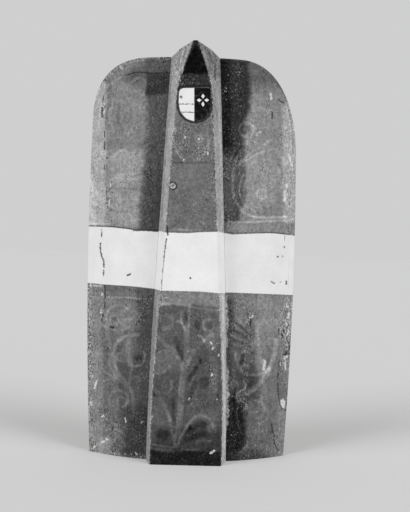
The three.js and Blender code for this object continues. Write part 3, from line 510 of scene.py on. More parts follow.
def new_material(name, **values):
    """A material with its Principled shader, whose plain sockets take the given values."""
    material = bpy.data.materials.new(name)
    material.use_nodes = True
    tree = material.node_tree
    tree.nodes.clear()
    shader = add_node(tree, "ShaderNodeBsdfPrincipled", values)
    add_node(tree, "ShaderNodeOutputMaterial", {"Surface": shader})
    return material, tree, shader.node


def add_stage():
    """A wide pale floor and a pale sky, with broad suns from the left, the right and behind."""
    mesh = bpy.data.meshes.new("floor")
    corners = [(x * FLOOR_HALF, y * FLOOR_HALF, 0) for x, y in ((-1, -1), (1, -1), (1, 1), (-1, 1))]
    mesh.from_pydata(corners, [], [(0, 1, 2, 3)])
    # Matt studio paint: one pale tone with no gloss, so that only the shield's shadow shows on it
    mesh.materials.append(new_material("matt_floor_paint", **{
        "Base Color": colour(FLOOR_HEX), "Roughness": 1.0, "Specular IOR Level": 0.0})[0])
    link("floor", mesh)
    for name, (azimuth, elevation, power, shadow) in SUNS.items():
        light = bpy.data.lights.new(name, "SUN")
        light.energy = power
        light.angle = SUN_SOFTNESS
        light.use_shadow = shadow
        a, e = math.radians(azimuth), math.radians(elevation)
        towards = Vector((math.sin(a) * math.cos(e), -math.cos(a) * math.cos(e), math.sin(e)))
        link(name, light).rotation_euler = towards.to_track_quat("Z", "Y").to_euler()
    world = bpy.data.worlds.new("pale_room")
    bpy.context.scene.world = world
    world.use_nodes = True
    world.node_tree.nodes.clear()
    node = partial(add_node, world.node_tree)
    lights = node("ShaderNodeBackground", {"Color": colour(ROOM_HEX), "Strength": SKY_LIGHT})
    seen = node("ShaderNodeBackground", {"Color": colour(ROOM_HEX), "Strength": 1.0})
    path = node("ShaderNodeLightPath").node.outputs
    direct = node(MATH, {0: path["Is Camera Ray"], 1: path["Is Glossy Ray"]}, operation="MAXIMUM")
    either = node(MATH, {0: direct, 1: path["Is Transmission Ray"]}, operation="MAXIMUM")
    both = node("ShaderNodeMixShader", {0: either, 1: lights, 2: seen})
    node("ShaderNodeOutputWorld", {"Surface": both})


# Materials

# Textures of the painted hide: size across, detail, stretch down the shield, and shift to another place.
# Gesso's own grain is finer than a pixel, so it is drawn at 3.2 mm, where it just shows.
HIDE_TEXTURES = {
    "grain": (3.2 * MM, 4.0, 1.0, 0.0),
    "coarse": (9 * MM, 3.0, 1.0, 3.0),
    "streak": (5 * MM, 4.0, 7.0, 7.0),
    "cloud": (45 * MM, 4.0, 1.0, 11.0),
    "fleck": (3.4 * MM, 2.0, 1.6, 17.0),
    "speck": (3.4 * MM, 2.0, 1.4, 29.0),
    "cluster": (30 * MM, 2.0, 1.6, 41.0),
}
HIDE_SWINGS = {"grain": 0.45, "streak": 0.22, "coarse": 0.38, "cloud": 0.35}
HIDE_ATTRIBUTES = ("tone", "wear", "black", "band", "loss", "crack")
DARK_FLECKS = {"speck": 1.0, "wear": 0.09, "cluster": 0.45}
PALE_FLECKS = {"fleck": 1.0, "wear": 0.12, "cluster": 0.45}

# Layers over the paint's tone and its painted shade, from below: where each lies, how thick, its tone, and
# what swings it.
# A layer lies where a sum of sources passes from low to high, and its tone is a base with such a sum.
# Dust has no source, and its ends are below zero, so it lies everywhere.
HIDE_LAYERS = {
    "dark flecks": (DARK_FLECKS, 0.14, 0.30, 1.0, 0.0, {"tone": 0.52}),
    "black": ({"black": 1.0, "coarse": 2.4}, -0.5, 0.5, 1.0, 0.06, {"coarse": 0.5}),
    "dust": ({}, -2.0, -1.0, 1.0, 0.0, {"tone": 1.0, "grain": 0.08, "coarse": 0.08}),
    "pale flecks": (PALE_FLECKS, 0.12, 0.32, 1.0, 0.14, {"tone": 1.0}),
    "white flecks": (PALE_FLECKS, 0.37, 0.45, 0.8, 0.84, {}),
    "band": ({"band": 1.0, "grain": 0.9}, -0.3, 0.3, 1.0, 0.90, {"cloud": 0.07, "coarse": 0.04}),
    "loss": ({"loss": 1.0, "grain": 5.0}, -0.5, 0.5, 0.85, 0.87, {"coarse": 0.3}),
    "crack": ({"crack": 1.0, "grain": 3.2}, -0.4, 0.4, 0.75, 0.13, {}),
}
HIDE_SURFACE = {"grain": 0.35, "streak": 0.5, "crack": -1.2, "loss": -0.59}
DARKEST = 0.02
HIDE_RELIEF = 0.8 * MM
RELIEF_STRENGTH = 0.6
SCREEN_GAMMA = 2.2

# Plain finishes
BROAD = 6.0
FINE_DETAIL = 6.0
BROAD_DETAIL = 3.0
FINE_SHARE = 0.55
DARK_END = 0.38
LIGHT_END = 0.66
ROUGH_SWING = 0.35
PLAIN_RELIEF = 0.3 * MM
THREAD_WANDER = 1.6
THREAD_TINT = 0.11
THREAD_FUZZ = 0.4


def painted_hide(name):
    """Distemper on gessoed hide, brushed on by hand and long worn.

    That gives a matt, dusty face that is streaked down the shield and flecked where gesso or wood shows.
    Tones are sRGB greys, as shares of white. tone is the paint's own, with painted shade laid into it
    along the crease beside the ridge and on the beak. wear says how thickly the flecks lie, and black,
    band, loss and crack are distances inside those marks, in pixels of the picture. black also holds the
    beak's painted shade.
    """
    material, tree, shader = new_material(name, **{"Roughness": 0.8, "Specular IOR Level": 0.12})
    node = partial(add_node, tree)
    source = {
        label: node("ShaderNodeAttribute", attribute_name=label, out="Fac") for label in HIDE_ATTRIBUTES
    }
    place = node("ShaderNodeTexCoord", out="Object")
    for label, (size, detail, stretch, shift) in HIDE_TEXTURES.items():
        moved = node("ShaderNodeMapping", {
            "Vector": place, "Location": (shift,) * 3, "Scale": (1 / size, 1 / size, 1 / size / stretch)})
        noise = node("ShaderNodeTexNoise", {"Vector": moved, "Scale": 1.0, "Detail": detail}, out="Fac")
        source[label] = node(MATH, {0: noise, 1: 0.5}, operation="SUBTRACT")

    def swung(base, shares):
        """A base and shares of sources, added up."""
        for label, share in shares.items():
            base = node(MATH, {0: source[label], 1: share, 2: base}, operation="MULTIPLY_ADD")
        return base

    for label, depth in HIDE_SWINGS.items():
        factor = swung(1.0, {label: depth})
        source["tone"] = node(MATH, {0: source["tone"], 1: factor}, operation="MULTIPLY")
    for label, (shares, low, high, strength, base, swings) in HIDE_LAYERS.items():
        own = node(MATH, {0: swung(base, swings), 1: DARKEST}, operation="MAXIMUM")
        cover = node("ShaderNodeMapRange", {0: swung(0.0, shares), 1: low, 2: high, 4: strength},
                     interpolation_type="SMOOTHSTEP")
        source["tone"] = node("ShaderNodeMix", {0: cover, 2: source["tone"], 3: own}, data_type="FLOAT")
        source[label] = cover
    grey = node("ShaderNodeCombineColor", {channel: source["tone"] for channel in range(3)})
    tree.links.new(node("ShaderNodeGamma", {0: grey, 1: SCREEN_GAMMA}), shader.inputs["Base Color"])
    bump = node("ShaderNodeBump", {
        "Height": swung(0.0, HIDE_SURFACE), "Distance": HIDE_RELIEF, "Strength": RELIEF_STRENGTH})
    tree.links.new(bump, shader.inputs["Normal"])
    return material


def plain_material(name, dark, light, size, roughness, stretch=1, metallic=0.0, axis=2, weave=None):
    """Two colours mixed by fine fibres or hammer marks over broad patches of the same make.

    Both are noises of a real size, stretched along one axis. A weave adds two sets of crossing threads at
    a real pitch: the wave texture repeats after pi / 10 over its scale.
    """
    material, tree, shader = new_material(name, Metallic=metallic)
    node = partial(add_node, tree)
    place = node("ShaderNodeTexCoord", out="Object")
    marks = []
    for across, detail in ((size, FINE_DETAIL), (BROAD * size, BROAD_DETAIL)):
        scale = [1 / across] * 3
        scale[axis] /= stretch
        moved = node("ShaderNodeMapping", {"Vector": place, "Scale": scale})
        noise = node("ShaderNodeTexNoise", {"Vector": moved, "Scale": 1.0, "Detail": detail}, out="Fac")
        marks.append(noise)
    fine, broad = marks
    broad_part = node(MATH, {0: broad, 1: 1 - FINE_SHARE}, operation="MULTIPLY")
    share = node(MATH, {0: fine, 1: FINE_SHARE, 2: broad_part}, operation="MULTIPLY_ADD")
    height = fine
    if weave:
        lay = {"Vector": place, "Scale": math.pi / 10 / weave, "Distortion": THREAD_WANDER}
        warp, weft = (
            node("ShaderNodeTexWave", lay, out="Fac", bands_direction=direction, wave_profile="SIN")
            for direction in "XZ"
        )
        threads = node(MATH, {0: warp, 1: weft}, operation="MULTIPLY")
        share = node(MATH, {0: threads, 1: THREAD_TINT, 2: share}, operation="MULTIPLY_ADD")
        height = node(MATH, {0: fine, 1: THREAD_FUZZ, 2: threads}, operation="MULTIPLY_ADD")
    share = node("ShaderNodeMapRange", {0: share, 1: DARK_END, 2: LIGHT_END})
    tint = node("ShaderNodeMix", {0: share, 6: colour(dark), 7: colour(light)}, out=2, data_type="RGBA")
    tree.links.new(tint, shader.inputs["Base Color"])
    uneven = node(MATH, {0: broad, 1: ROUGH_SWING, 2: roughness - ROUGH_SWING / 2}, operation="MULTIPLY_ADD")
    tree.links.new(uneven, shader.inputs["Roughness"])
    bump = node("ShaderNodeBump", {"Height": height, "Distance": PLAIN_RELIEF, "Strength": RELIEF_STRENGTH})
    tree.links.new(bump, shader.inputs["Normal"])
    return material


# Painting: distances in pixels of the picture

STROKE_MARGIN = 4.0
STROKE_SOFTNESS = 0.9
SPAN_STEPS = 6
TURN_STEP = 45
HAND_SEEDS = (201, 203)
WIDE_WANDER = 1.6
WIDE_WAVES = (10, 16, 70)
FINE_WANDER = 0.8
FINE_WAVES = (14, 3, 10)
WORN = 0.35
WORN_WAVES = (211, 16, 8, 30)


def soft_step(value, soft):
    """0 below -soft, 1 above soft, and a smooth s between them."""
    return smooth_share(value / (2 * soft) + 0.5)


def box(left, top, right, bottom):
    """Corners of an upright rectangle in the picture."""
    return [(left, top), (right, top), (right, bottom), (left, bottom)]


def distance_to_segments(spots, corners):
    """Distance of each spot to the nearest of the straight lines that join the corners."""
    best = np.full(len(spots), np.inf)
    for a, b in zip(corners[:-1], corners[1:]):
        along = b - a
        share = np.clip((spots - a) @ along / max(along @ along, TINY), 0, 1)
        best = np.minimum(best, np.linalg.norm(spots - a - share[:, None] * along, axis=1))
    return best


def inside_distance(spots, corners):
    """Distance of each spot inside a closed outline, negative outside, by counting crossings."""
    ring = np.array([*corners, corners[0]], float)
    inside = np.zeros(len(spots), bool)
    x, y = spots[:, 0], spots[:, 1]
    for (ax, ay), (bx, by) in zip(ring[:-1], ring[1:]):
        crosses = (ay > y) != (by > y)
        at = ax + (y - ay) / (by - ay if by != ay else TINY) * (bx - ax)
        inside ^= crosses & (x < at)
    distance = distance_to_segments(spots, ring)
    return np.where(inside, distance, -distance)


def smooth_line(corners, steps=SPAN_STEPS):
    """A Catmull-Rom curve through the corners: each span is a cubic that follows its neighbours' slopes."""
    p = np.array([corners[0], *corners, corners[-1]], float)
    t = np.linspace(0, 1, steps, endpoint=False)[:, None]
    spans = [
        0.5 * (2 * b + (c - a) * t + (2 * a - 5 * b + 4 * c - d) * t**2 + (3 * b - a - 3 * c + d) * t**3)
        for a, b, c, d in zip(p[:-3], p[1:-2], p[2:-1], p[3:])
    ]
    return np.concatenate([*spans, p[-1:]])


def circle(x, y, radius, start=0, end=360):
    """Points on a circle: x + r cos a, y + r sin a, with a in degrees, clockwise from the right."""
    turn = np.radians(np.linspace(start, end, round(abs(end - start) / TURN_STEP) + 2))
    return list(zip(x + radius * np.cos(turn), y + radius * np.sin(turn)))


def stroke_distance(spots, width, corners):
    """Distance inside a brush stroke of a width, worked out only near it."""
    line = smooth_line(corners)
    reach = width / 2 + STROKE_MARGIN
    near = np.all((spots > line.min(0) - reach) & (spots < line.max(0) + reach), axis=1)
    field = np.full(len(spots), -STROKE_MARGIN)
    field[near] = np.maximum(width / 2 - distance_to_segments(spots[near], line), -STROKE_MARGIN)
    return field


def wandering(spots):
    """The spots moved a little by seeded waves, so that outlines worked out from them look drawn by hand."""
    moved = spots.astype(float)
    for axis, seed in enumerate(HAND_SEEDS):
        wide = random_waves(seed, *WIDE_WAVES)(spots[:, 0], spots[:, 1])
        fine = random_waves(seed + 1, *FINE_WAVES)(spots[:, 0], spots[:, 1])
        moved[:, axis] += WIDE_WANDER * wide + FINE_WANDER * fine
    return moved


def washed(spots, base, washes):
    """A tone with soft-edged washes laid over it in turn."""
    spots = wandering(spots)
    tone = np.full(len(spots), float(base))
    for wash, share, soft, corners in washes.values():
        cover = share * soft_step(inside_distance(spots, corners), soft)
        tone += (wash - tone) * cover
    return tone


def brushed(spots, tone, strokes):
    """A tone with soft strokes laid over it, each of which lightens or darkens it."""
    worn = 1.0 + WORN * random_waves(*WORN_WAVES)(spots[:, 0], spots[:, 1])
    for width, lift, corners in strokes.values():
        tone = tone + worn * lift * soft_step(stroke_distance(spots, width, corners), STROKE_SOFTNESS)
    return tone


def marks(spots, groups, areas=()):
    """Distance inside the nearest of some groups of strokes and outlined areas."""
    field = np.full(len(spots), -STROKE_MARGIN)
    for width, corners in chain(*groups.values()):
        field = np.maximum(field, stroke_distance(spots, width, corners))
    for corners in areas:
        field = np.maximum(field, inside_distance(spots, corners))
    return field


# Paint of the wings, in pixels of the picture. Washes: tone, share, softness, outline.

LEFT_BASE = 0.48
LEFT_WASHES = {
    "pale middle": (0.51, 0.8, 10, box(105, 75, 145, 225)),
    "pale lower middle": (0.60, 0.8, 8, box(110, 150, 143, 225)),
    "outer margin": (0.71, 0.85, 3, [(80, 84), (107, 84), (105, 108), (107, 228), (80, 228)]),
    "rim above the border": (0.50, 0.9, 2, [
        (171, 56), (130, 60), (108, 79), (113, 87), (127, 75), (146, 72), (171, 72)]),
    "shade under the border": (0.29, 0.65, 6, [(122, 75), (136, 66), (154, 62), (152, 84), (128, 85)]),
    # Dirt and painted shade: the washes along the crease beside the ridge, down to the foot, darken it where
    # dirt lies and shade falls
    "dirt and painted shade beside the ridge": (0.30, 0.9, 5, [
        (146, 62), (172, 56), (171, 95), (167, 160), (163, 233), (140, 233), (142, 190), (148, 120),
        (146, 95)]),
    "dark corner": (0.21, 0.9, 2, [(146, 73), (172, 73), (171, 95), (146, 95)]),
    "rim by the ridge": (0.33, 0.9, 2, [(146, 60), (172, 56), (172, 72), (146, 72)]),
    "panel below the corner": (0.33, 0.8, 1.5, box(147, 95, 170, 104)),
    "dirt and painted shade low by the ridge": (0.27, 0.9, 6, [(145, 170), (166, 170), (164, 233), (141, 233)]),
    "pale left edge": (0.76, 0.9, 1.5, [(85, 175), (92.5, 175), (95.5, 205), (96, 228), (84, 228)]),
    "lower wing": (0.40, 1.0, 2, box(60, 256, 175, 500)),
    "lower margin": (0.52, 0.9, 2, box(80, 256, 103, 480)),
    "lower middle": (0.40, 0.9, 8, [(105, 297), (136, 297), (135, 440), (105, 440)]),
    "lower valley": (0.29, 0.9, 5, [(138, 298), (165, 298), (158, 470), (135, 470)]),
    "under the band": (0.52, 0.5, 5, [(88, 290), (136, 292), (136, 326), (88, 332)]),
    "dark round the scroll": (0.24, 0.6, 5, [(118, 362), (135, 364), (136, 404), (120, 402)]),
    "pale foot": (0.66, 0.5, 3, [(102, 436), (113, 436), (110, 452), (98, 450)]),
    "worn foot": (0.22, 0.8, 6, [(122, 405), (150, 405), (148, 470), (122, 470)]),
    "below the band": (0.30, 0.8, 2, box(137, 288, 162, 302)),
}
RIGHT_BASE = 0.53
RIGHT_WASHES = {
    "top": (0.38, 0.9, 10, box(215, 50, 290, 88)),
    "outer half": (0.52, 0.9, 6, box(250, 100, 300, 222)),
    "pale disc": (0.58, 0.7, 5, [
        (243, 182), (247, 166), (258, 156), (271, 156), (278, 166), (279, 184), (274, 200), (262, 210),
        (249, 202)]),
    "outer margin": (0.68, 0.85, 2.5, box(283, 105, 300, 222)),
    # Dirt and painted shadow: the washes along the crease right of the ridge, from the top down to the foot,
    # darken it where dirt lies and the ridge's shadow falls
    "dirt and painted shade beside the ridge": (0.17, 0.95, 4, [
        (219, 55), (248, 62), (252, 92), (246, 118), (244.5, 142), (242, 182), (240, 215), (230, 233),
        (220, 233), (220, 150)]),
    "deepest dirt and painted shadow": (0.06, 0.9, 3, [(218, 58), (229, 60), (231, 146), (221, 150)]),
    "valley above the band": (0.35, 0.85, 3, [(222, 158), (234, 154), (239, 208), (222, 224)]),
    "between the stems": (0.33, 0.8, 3, [(236, 160), (246, 150), (247, 185), (243, 205), (233, 200)]),
    "dark square": (0.27, 0.9, 2, box(224, 211, 240, 221)),
    "below the frame": (0.51, 0.9, 2, box(224, 221.5, 300, 236)),
    "lower wing": (0.42, 1.0, 2, box(215, 262, 310, 500)),
    "lower inner half": (0.36, 0.9, 5, box(222, 296, 256, 400)),
    "lower outer half": (0.50, 0.9, 4, box(256, 296, 276, 462)),
    "lower edge": (0.50, 0.9, 3, box(277, 296, 300, 470)),
    "worn foot": (0.38, 0.8, 6, box(247, 400, 273, 462)),
    "foot of the valley": (0.09, 0.95, 4, [
        (222, 403), (232, 392), (238, 400), (245, 402), (246, 440), (236, 462), (222, 470)]),
    "lower valley": (0.26, 0.9, 2, box(222, 300, 232, 396)),
    "under the band": (0.58, 0.45, 5, [(234, 294), (292, 296), (292, 330), (234, 326)]),
    "dark round the scroll": (0.22, 0.6, 5, [(235, 366), (252, 362), (262, 380), (255, 404), (237, 400)]),
    "shade by the stem": (0.40, 0.6, 4, box(264, 362, 286, 402)),
    "shade of the foot": (0.20, 0.8, 6, [(228, 452), (250, 450), (268, 455), (274, 470), (228, 470)]),
    "pale edge by the ridge": (0.66, 0.85, 0.8, [
        (222, 296), (227.4, 296), (227.4, 380), (228.2, 412), (226.4, 432), (222, 432)]),
}

# Strokes: width, lift, points
LEFT_STROKES = {
    "border's fainter part": (1.3, -0.07, [(101, 106), (106, 93), (115, 82.5), (126.9, 75.6)]),
    "inner border arc": (2.0, 0.10, [(112.5, 83.6), (120.2, 77.8), (126.9, 75.9)]),
    "top scroll": (2.4, 0.09, [(132.6, 81.7), (137.4, 78.3), (144.1, 79.8), (146, 85.5), (143.2, 95)]),
    "middle leaf": (2.4, 0.09, [(110.6, 159.2), (115.4, 154.4), (120.2, 150.6), (126, 150.6)]),
    "leaf tip": (2.2, 0.08, [(118.3, 175.5), (123, 174.5)]),
    "brush line above the band": (1.4, 0.08, [(92.4, 223.6), (112.5, 224)]),
    "brush streak one": (1.6, 0.06, [(112, 178), (138, 179)]),
    "brush streak two": (1.6, -0.06, [(110, 188), (140, 189)]),
    "brush streak three": (1.6, 0.05, [(112, 199), (139, 200)]),
    "brush streak four": (1.6, -0.05, [(110, 211), (138, 212)]),
    "upper faint scroll": (2.6, 0.06, [(114, 99), (110, 112), (112, 126), (119, 137)]),
    "upper faint leaf": (2.4, 0.05, [(128, 98), (133, 108), (134, 121), (129, 133)]),
    "upper faint shade": (3.0, -0.05, [(119, 104), (118, 118), (123, 131)]),
    "frame line": (1.4, 0.14, [(103, 297.2), (112.5, 297.3), (132.6, 297.8), (152.7, 300.1)]),
    "upper circle": (2.6, 0.07, circle(119, 318, 12.8, 60, 330)),
    "small ring": (1.8, 0.07, circle(114.5, 319.4, 4.6)),
    "ring's middle": (4.0, -0.05, [(114, 319), (115, 320)]),
    "upper lobe": (3.0, 0.07, [(120, 316), (124, 311.5), (128, 309)]),
    "middle lobe": (3.0, 0.07, [(122, 320), (127, 318.6), (131.5, 319)]),
    "lower lobe": (3.0, 0.07, [(121, 323), (125, 325.6), (129, 327.5)]),
    "outer stem": (3.4, 0.08, [(105.3, 325.8), (108.4, 337), (110.5, 348), (110.4, 360)]),
    "big leaf": (3.4, 0.10, [
        (139, 334.6), (131.9, 334.7), (122.7, 337.8), (115.6, 344.9), (113.5, 355.1), (115, 365.3),
        (118.6, 373.5), (123.7, 379.6), (128.8, 386.7), (131.9, 391.8), (133.5, 403), (133.9, 415)]),
    "leaf's heart": (5.4, 0.07, [(128.8, 340), (128, 352), (130.4, 364)]),
    "hollow of the leaf": (4.0, -0.05, [(122, 344), (119, 351)]),
    "hooked stroke": (1.8, 0.08, [(121.7, 352.6), (117.6, 354), (117, 359.2), (121.7, 361.2)]),
    "dark of the eye": (7.0, -0.08, [(137, 356.8), (138.4, 358)]),
    "edge of the eye": (2.2, 0.13, [(143, 351), (145.1, 357), (141, 365), (132.4, 366.2)]),
    "hanging leaf": (2.8, 0.10, [(131.9, 368), (130.6, 375), (129.4, 383)]),
    "small curl": (1.8, 0.09, circle(136, 379.6, 3.4, 180, 400)),
    "sheaf one": (2.4, 0.08, [(108.4, 361), (112.5, 371.4), (121.7, 381.6), (128.8, 391.8)]),
    "sheaf two": (2.0, 0.08, [(104.3, 371.4), (112.5, 376.5), (120.7, 381.6)]),
    "sheaf three": (1.8, 0.08, [(103.4, 381.4), (111, 379.4), (118, 383.4)]),
    "lower circle": (2.6, 0.08, circle(118.6, 400, 9.8, 140, 400)),
    "lower ring": (1.8, 0.08, circle(121.6, 402, 4.8, 200, 430)),
    "foot arc": (2.4, 0.09, [(105, 431), (109, 428.6), (114.7, 427.9), (122.1, 433.2)]),
    "foot leaf": (2.4, 0.08, [(111, 443), (116, 437.6), (122, 439), (125, 446)]),
}
RIGHT_STROKES = {
    "outer scroll": (2.2, 0.15, [
        (237.4, 157), (233.5, 168), (232.6, 182), (233.4, 195), (237.2, 203.5), (241.9, 210.6),
        (251.2, 215.8), (263.2, 217.6), (286.5, 216.9)]),
    "inner scroll": (2.0, 0.12, [
        (243.4, 175), (239.8, 184.6), (240, 195), (243.4, 201.8), (248, 207.4), (255, 211.8)]),
    "far scroll": (2.0, 0.07, [(247, 180), (243.6, 190), (246, 199), (252, 205), (262, 209)]),
    "stem's body": (7.0, 0.04, [(234.6, 180), (238, 170), (246.6, 160.4), (256, 154.2), (268, 147)]),
    "stem": (2.4, 0.09, [
        (236, 167), (240.8, 162.6), (245.1, 157.9), (252.9, 151.8), (263.2, 145), (270.1, 139.8)]),
    "stem's lower edge": (2.2, 0.10, [
        (243, 163), (248.6, 158.7), (256.3, 154.4), (266.7, 150.6), (277, 149.4)]),
    "stem's shade": (1.4, -0.07, [(246, 158.6), (253.6, 153.2), (264, 147.4), (273, 143.6)]),
    "outer circle": (2.6, 0.06, [(277, 151.6), (280.5, 157), (286.5, 160.5)]),
    "middle circle": (2.4, 0.05, circle(263, 176, 17, 215, 350)),
    "inner circle": (2.0, 0.05, circle(262, 178, 10, 190, 340)),
    "flower": (1.8, 0.09, circle(261.6, 194, 5.0, 150, 470)),
    "small ring": (2.2, 0.11, circle(246.4, 129.5, 7.2, 100, 400)),
    "ring's middle": (5.0, -0.07, [(247.4, 128), (247.6, 132)]),
    "ring's tail": (2.0, 0.10, [(247, 136), (247.6, 142), (246, 147)]),
    "curl": (1.6, 0.16, [(257, 135), (258, 133), (261.4, 131.8)]),
    "upper curl": (1.8, 0.10, [(251.4, 126.4), (254.6, 125.6), (256.3, 129.5)]),
    "fan": (6.0, 0.05, [(249, 115), (252, 120)]),
    "frame line": (1.5, 0.15, [(228.3, 221.7), (247.4, 222.2), (266.6, 221.2), (280, 220.7), (291, 221)]),
    "upper leaf": (2.0, 0.05, [(252, 112), (260, 108), (268, 111), (271, 119)]),
    "edge of the binding": (1.2, -0.10, [
        (276, 82), (283.6, 93), (287.8, 106), (290.8, 121), (292.4, 134), (293, 150)]),
    "light on the binding": (1.6, 0.08, [(286.4, 108), (289.2, 121), (290.8, 134), (291.2, 150)]),
    "palmette lower": (2.6, 0.07, [(231.4, 343.6), (241, 346), (252, 350.4)]),
    "palmette middle": (3.0, 0.08, [(230.3, 334.6), (240.3, 339.6), (252.6, 347)]),
    "palmette upper": (3.0, 0.09, [(231.4, 324.4), (243.7, 333), (253.7, 344.4)]),
    "palmette top": (2.6, 0.08, [(238.3, 319.5), (248.3, 331), (255.4, 342)]),
    "palmette's low gap": (2.2, -0.09, [(232.6, 339.6), (243, 342.6), (250, 346.4)]),
    "palmette's middle gap": (2.2, -0.10, [(233.6, 330), (243, 335.4), (249.4, 340.4)]),
    "palmette's upper gap": (2.0, -0.09, [(236.4, 323.4), (244.6, 329.4), (250.6, 335.4)]),
    "palmette stem": (4.0, 0.07, [(257, 322), (257.4, 336), (258, 350), (262, 362)]),
    "tone edge": (1.4, -0.08, [(256.3, 293), (256, 304), (256.2, 314)]),
    "circle": (2.6, 0.13, [
        (235.6, 352), (236.6, 360), (238.4, 367.4), (243, 373), (250.4, 375.2), (262.6, 373),
        (269.3, 368)]),
    "circle's inside": (2.0, 0.10, circle(246, 358, 6.4, 170, 400)),
    "circle's eye": (1.8, 0.12, circle(244, 367.5, 3.2, 120, 380)),
    "dark of the circle": (5.0, -0.12, [(242.6, 356), (241.6, 363)]),
    "dark beside the circle": (3.0, -0.10, [(252, 353), (252.6, 358)]),
    "lower stem": (4.6, 0.11, [
        (276, 340), (274.9, 352.5), (270.5, 365.9), (264.9, 377), (256, 387), (247, 393.8)]),
    "stem's dark edge": (1.4, -0.10, [(267, 345), (269.6, 352), (268.4, 361)]),
    "dark under the stem": (5.0, -0.06, [(252, 378), (250, 384)]),
    "small curl": (1.8, 0.16, [(243.6, 381.6), (246, 384.6), (244.6, 389), (238.4, 392.6), (235, 399)]),
    "left curl": (1.8, 0.12, circle(234.4, 385, 3.4, 150, 360)),
    "round spot": (2.4, 0.07, circle(254.8, 409.4, 9.4, 180, 450)),
    "strokes in the spot": (1.8, 0.12, [(250, 411.6), (257.4, 411.8)]),
    "arc on the black": (1.6, 0.14, [(240, 400), (236.8, 411), (238.4, 424), (242, 434)]),
    "line on the black": (1.3, 0.13, [(232.6, 404), (232, 415), (231.4, 426)]),
    "lower curl": (2.2, 0.07, [(262, 404), (268, 411), (266, 420), (258, 424)]),
    "valley line": (1.8, -0.14, [(235, 388), (234, 404), (232, 420)]),
}

# Cracks and losses: some strokes of one kind each, with width and points
LEFT_CRACKS = {
    "border line": [
        (0.9, [(126.9, 75.6), (132.6, 73.2), (141.2, 72.4), (150, 73.4), (160, 73.2), (171.9, 73)])],
    "line over the band": [(1.6, [(133.6, 230.2), (147, 230.3), (160.4, 231.2)])],
    "thin line over the band": [(0.7, [(88.6, 225.8), (112.5, 226.6), (132.6, 229)])],
    "plank joint": [
        (0.7, [(103.4, 96), (102.9, 102.4)]), (1.0, [(104.5, 131.6), (104.6, 137)]),
        (1.0, [(104.7, 142), (104.6, 149.6)]), (0.8, [(104.3, 165.4), (104.3, 169.6)]),
        (0.6, [(106.8, 187), (106.6, 194), (107, 200.4)]), (0.8, [(107.6, 206.6), (107.7, 209)])],
    "plank joint's gap": [(1.4, [(102.4, 107.6), (101.9, 112), (102.2, 117.2)])],
    "plank joint's dot": [(1.4, [(107.1, 157.6), (107.2, 158.4)])],
    "band crack": [(1.2, [(100.5, 243.2), (100.3, 249), (101.8, 256), (103.7, 261.4), (103.9, 267)])],
    "band crack's end": [(1.0, [(103.5, 270), (103.4, 276)])],
    "band crack's start": [(0.7, [(101.4, 229.4), (102, 233), (101.6, 237)])],
    "low crack": [
        (1.2, [(104.5, 285.4), (105, 291), (105.3, 298)]), (0.9, [(105, 302), (104.3, 309)]),
        (0.8, [(103, 314), (101.6, 322)])],
    "slash": [(1.7, [(127.2, 275.4), (130.4, 274.2)])],
    "gash": [(1.6, [(160.5, 200.4), (161.2, 203)])],
    "slot": [(2.2, [(110.8, 327), (113.4, 327.6)])],
}
RIGHT_CRACKS = {
    "thin line over the band": [(0.7, [(225.4, 232.4), (240.7, 233.2), (266.6, 232.5), (295.3, 235)])],
    "slit": [(1.7, [(250.7, 319.2), (250.3, 324.6)])],
    "band dot": [
        (1.5, [(277.6, 256.5), (277.8, 256.7)]), (1.3, [(282.4, 256.5), (282.6, 256.7)]),
        (1.3, [(284.3, 246.8), (284.4, 247.4)]), (0.9, [(280, 282), (281, 282.2)]),
        (1.4, [(286.4, 281.2), (286.2, 284)])],
    "band line": [(0.6, [(284.9, 236), (284.7, 240.6)])],
    "band mark": [(1.1, [(270.8, 281.6), (272.6, 282.6), (274.6, 283.4)])],
    "foot crack": [
        (1.2, [(278.4, 373), (277.6, 378.4)]),
        (1.0, [(277.5, 383), (278.2, 391), (279.2, 399.5), (281.4, 407.6), (285.2, 410.6)])],
    "patch's top edge": [(0.6, [(274, 411), (280, 410.8)])],
    "inner foot crack": [(1.2, [(271.4, 424), (272.4, 430), (274.2, 436)])],
    "inner foot crack's end": [(1.0, [(273.9, 439), (274.6, 444), (276.8, 448.4), (278.3, 450.7)])],
    "plank joint": [(0.9, [(279.4, 360.6), (279, 366.4)]), (0.9, [(278.4, 329), (278.8, 334)])],
    "nick": [(1.2, [(272, 112), (272.2, 119)])],
    "corner crack": [(1.0, [(278.3, 99.3), (281, 101.6), (284.8, 103.6)])],
    "rim chip": [
        (1.8, [(283.2, 330), (284, 331.6)]), (2.0, [(281.8, 334), (282.8, 336.6)]),
        (1.2, [(286, 352.4), (289.6, 348), (289, 345)]), (1.4, [(283, 354.6), (288, 354)])],
}
